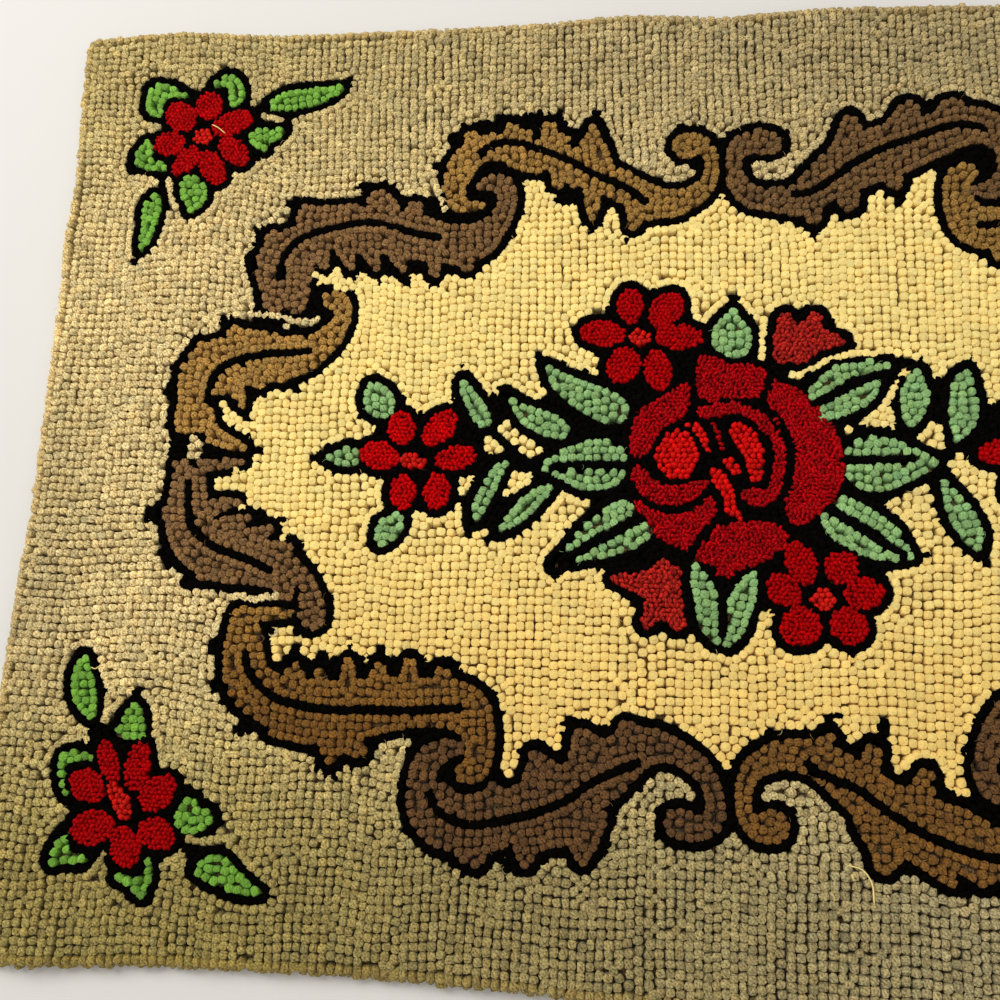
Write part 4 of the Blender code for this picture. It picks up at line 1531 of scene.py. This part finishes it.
def build_fibres(rug, chart, finishes):
    """Short hairs over the wool, and a few longer ends of thread."""
    kinds = classes(chart)
    made = []
    for name, count in FIBRES.items():
        x = rng.uniform(-rug.half_x + 3, rug.half_x - 3, count * 60)
        y = rng.uniform(-rug.half_y + 3, rug.half_y - 3, count * 60)
        own = np.nonzero(kind_at(kinds, x, y) == CODE[name])[0][:count]
        x, y = x[own], y[own]
        count = len(x)
        heading = rng.uniform(0, math.tau, count)
        stride = rng.uniform(0.9, 1.9, count)
        bend = rng.normal(0, 0.45, count)
        ground = rug.height(rug.pile, x, y) / MM
        lines = np.zeros((count, len(FIBRE_RISES), 3))
        for step, rise in enumerate(FIBRE_RISES):
            lines[:, step] = np.stack([x, y, ground + rise + rng.normal(0, 0.25, count)], 1)
            x = x + np.cos(heading) * stride
            y = y + np.sin(heading) * stride
            heading = heading + bend
        points, faces = tubes(lines * MM, rng.uniform(0.07, 0.14, count) * MM)
        for yarn_name, radius, rows in THREADS:
            if yarn_name != name:
                continue
            path = curve(rows)
            path[:, 2] += np.nan_to_num(rug.height(rug.pile, path[:, 0], path[:, 1]) / MM, nan=PILE_TOP)
            more, more_faces = tubes(path[None] * MM, np.array([radius * MM]))
            faces = np.concatenate([faces, more_faces + len(points)])
            points = np.concatenate([points, more])
        shades = np.ones_like(points)
        # The tan hairs take the tan field's painted light and shade
        if name == "tan":
            shades = field_shade(points[:, 0] / MM, points[:, 1] / MM)
        made.append(mesh_of("fibres_" + name, points, faces, shades * FIBRE_SHADE, finishes[name]))
    return made


# Foundation: burlap with its hem turned under

# How far in the cloth's folded edge lies from the pile's, how far in from that fold its rows of points
# lie, how the fold rounds over the first of them, and how far in the hem's second layer reaches
CLOTH_INSET = 3.2
CLOTH_ROWS = (0.0, 0.5, 1.6, 6.0, 14.0, 24.0, 26.0, 27.5, 34.0)
FOLD = ((0.0, 0.5, 1.6), (1.0, 0.55, 0.0))
HEM_REACH = 26.7
# How much higher the cloth's underside lies inside the hem
HEM_THICKNESS = 0.9 * MM
# How many rows of points lie along and across the middle
MIDDLE_ALONG = 41
MIDDLE_ACROSS = 29
# The threads of the weave
WEAVE = {"Scale": 160.0, "Distortion": 1.2, "Detail": 1.5}


def burlap():
    """Plain woven burlap."""
    made, nodes, links, shader = material("burlap_weave")
    give(shader, {"Roughness": 0.92})
    place = add(nodes, "ShaderNodeTexCoord")
    waves = []
    for way in ("X", "Y"):
        wave = add(nodes, "ShaderNodeTexWave", WEAVE, bands_direction=way)
        links.new(place.outputs["Object"], wave.inputs["Vector"])
        waves.append(wave)
    both = add(nodes, "ShaderNodeMath", operation="MAXIMUM")
    links.new(waves[0].outputs["Fac"], both.inputs[0])
    links.new(waves[1].outputs["Fac"], both.inputs[1])
    tone = add(nodes, "ShaderNodeValToRGB")
    tone.color_ramp.elements[0].color = (*linear(96, 70, 40), 1)
    tone.color_ramp.elements[1].color = (*linear(186, 150, 98), 1)
    links.new(both.outputs[0], tone.inputs[0])
    links.new(tone.outputs[0], shader.inputs["Base Color"])
    bump = add(nodes, "ShaderNodeBump", {"Strength": 0.6, "Distance": SURFACE_DEPTH})
    links.new(both.outputs[0], bump.inputs["Height"])
    links.new(bump.outputs["Normal"], shader.inputs["Normal"])
    return made


def cloth_lines(half, steps):
    """The places of the cloth's rows of points, from one edge to the other, each from -1 to 1."""
    edge = np.array([CLOTH_INSET + row for row in CLOTH_ROWS])
    middle = np.linspace(-half + edge[-1], half - edge[-1], steps)
    return np.concatenate([-half + edge[:-1], middle, (half - edge[:-1])[::-1]]) / half


def build_foundation(rug):
    """A closed thin cloth: its top under the pile, its edge folded, and the hem's second layer below."""
    u, v = np.meshgrid(cloth_lines(rug.half_x, MIDDLE_ALONG), cloth_lines(rug.half_y, MIDDLE_ACROSS))
    x, y = rug.place(u, v)
    inset = np.minimum(rug.half_x * (1 - np.abs(u)), rug.half_y * (1 - np.abs(v))) - CLOTH_INSET
    upper = rug.height(rug.base, x.ravel(), y.ravel()).reshape(x.shape)
    lower = rug.height(rug.base, x.ravel(), y.ravel(), down=False).reshape(x.shape)
    upper = np.where(np.isnan(upper), np.nanmedian(upper), upper)
    lower = np.where(np.isnan(lower), 0.0, lower)
    rolled = np.interp(inset, *FOLD)
    middle = (upper + lower) / 2
    upper = upper + (middle - upper) * rolled * 0.9
    lower = np.where(inset < HEM_REACH, lower + (middle - lower) * rolled * 0.9, lower + HEM_THICKNESS)
    points = np.concatenate([np.stack([x * MM, y * MM, z], -1).reshape(-1, 3) for z in (upper, lower)])

    index = np.arange(x.size).reshape(x.shape)
    a, b = index[:-1, :-1].ravel(), index[:-1, 1:].ravel()
    c, d = index[1:, 1:].ravel(), index[1:, :-1].ravel()
    over = np.stack([a, b, c, d], 1)
    under = np.stack([d, c, b, a], 1) + x.size
    ring = np.concatenate([index[0, :], index[1:, -1], index[-1, -2::-1], index[-2:0:-1, 0]])
    after = np.roll(ring, -1)
    sides = np.stack([after, ring, ring + x.size, after + x.size], 1)
    return mesh_of("burlap_foundation", points, np.concatenate([over, under, sides]), None, burlap())


# The studio, in metres and watts

FLOOR_COLOUR = linear(225, 222, 216)
FLOOR_HALF = 6.0
FLOOR_TOP = -0.0002
ROOM_COLOUR = (1.0, 0.985, 0.96, 1)
ROOM_LIGHT = 0.485
# Each lamp's place, size and power, and what they are all aimed at
LAMPS = {
    "window": ((-1.3, 0.9, 1.7), 1.3, 35.5),
    "fill": ((1.2, -0.9, 2.2), 2.4, 5.3),
}
LAMP_AIM = (-0.05, 0.0, 0.0)
# The camera's place, its turns in degrees, and its lens in millimetres
CAMERA_PLACE = (-0.053, -0.191, 0.6824)
CAMERA_TURNS = (13.93, 6.48, 2.11)
LENS = 41.4
SENSOR = 36.0


def build_floor():
    """A plain pale floor, just under the rug."""
    made, _, _, shader = material("pale_floor")
    give(shader, {"Base Color": (*FLOOR_COLOUR, 1), "Roughness": 0.9})
    corners = ((-1, -1), (1, -1), (1, 1), (-1, 1))
    points = np.array([(x * FLOOR_HALF, y * FLOOR_HALF, FLOOR_TOP) for x, y in corners])
    mesh_of("floor", points, np.array([(0, 1, 2, 3)]), None, made)


def build_light():
    """Soft light from all round, a large lamp at the window's side, and a weak one across from it."""
    world = bpy.data.worlds.new("soft_room")
    bpy.context.scene.world = world
    world.use_nodes = True
    give(world.node_tree.nodes["Background"], {"Color": ROOM_COLOUR, "Strength": ROOM_LIGHT})
    for name, (place, size, power) in LAMPS.items():
        lamp = bpy.data.lights.new(name, "AREA")
        lamp.size = size
        lamp.energy = power
        light = bpy.data.objects.new(name, lamp)
        light.location = place
        light.rotation_euler = (Vector(LAMP_AIM) - Vector(place)).to_track_quat("-Z", "Y").to_euler()
        bpy.context.scene.collection.objects.link(light)


def build_camera():
    """The camera, where the photo was taken from."""
    lens = bpy.data.cameras.new("camera")
    lens.sensor_fit = "HORIZONTAL"
    lens.sensor_width = SENSOR
    lens.lens = LENS
    lens.clip_start = 0.01
    camera = bpy.data.objects.new("camera", lens)
    camera.location = CAMERA_PLACE
    camera.rotation_euler = tuple(math.radians(turn) for turn in CAMERA_TURNS)
    bpy.context.scene.collection.objects.link(camera)
    bpy.context.scene.camera = camera


bpy.context.scene.view_settings.view_transform = "Standard"
build_camera()
build_light()
build_floor()
rug = Rug()
chart = draw()
pile_pieces, finishes = build_pile(rug, chart)
pile_pieces += build_fibres(rug, chart, finishes)
cloth = build_foundation(rug)

for piece in pile_pieces:
    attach(piece, "root")
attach(cloth, "root")
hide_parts("foundation")
for piece in pile_pieces:
    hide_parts("hooked_pile")
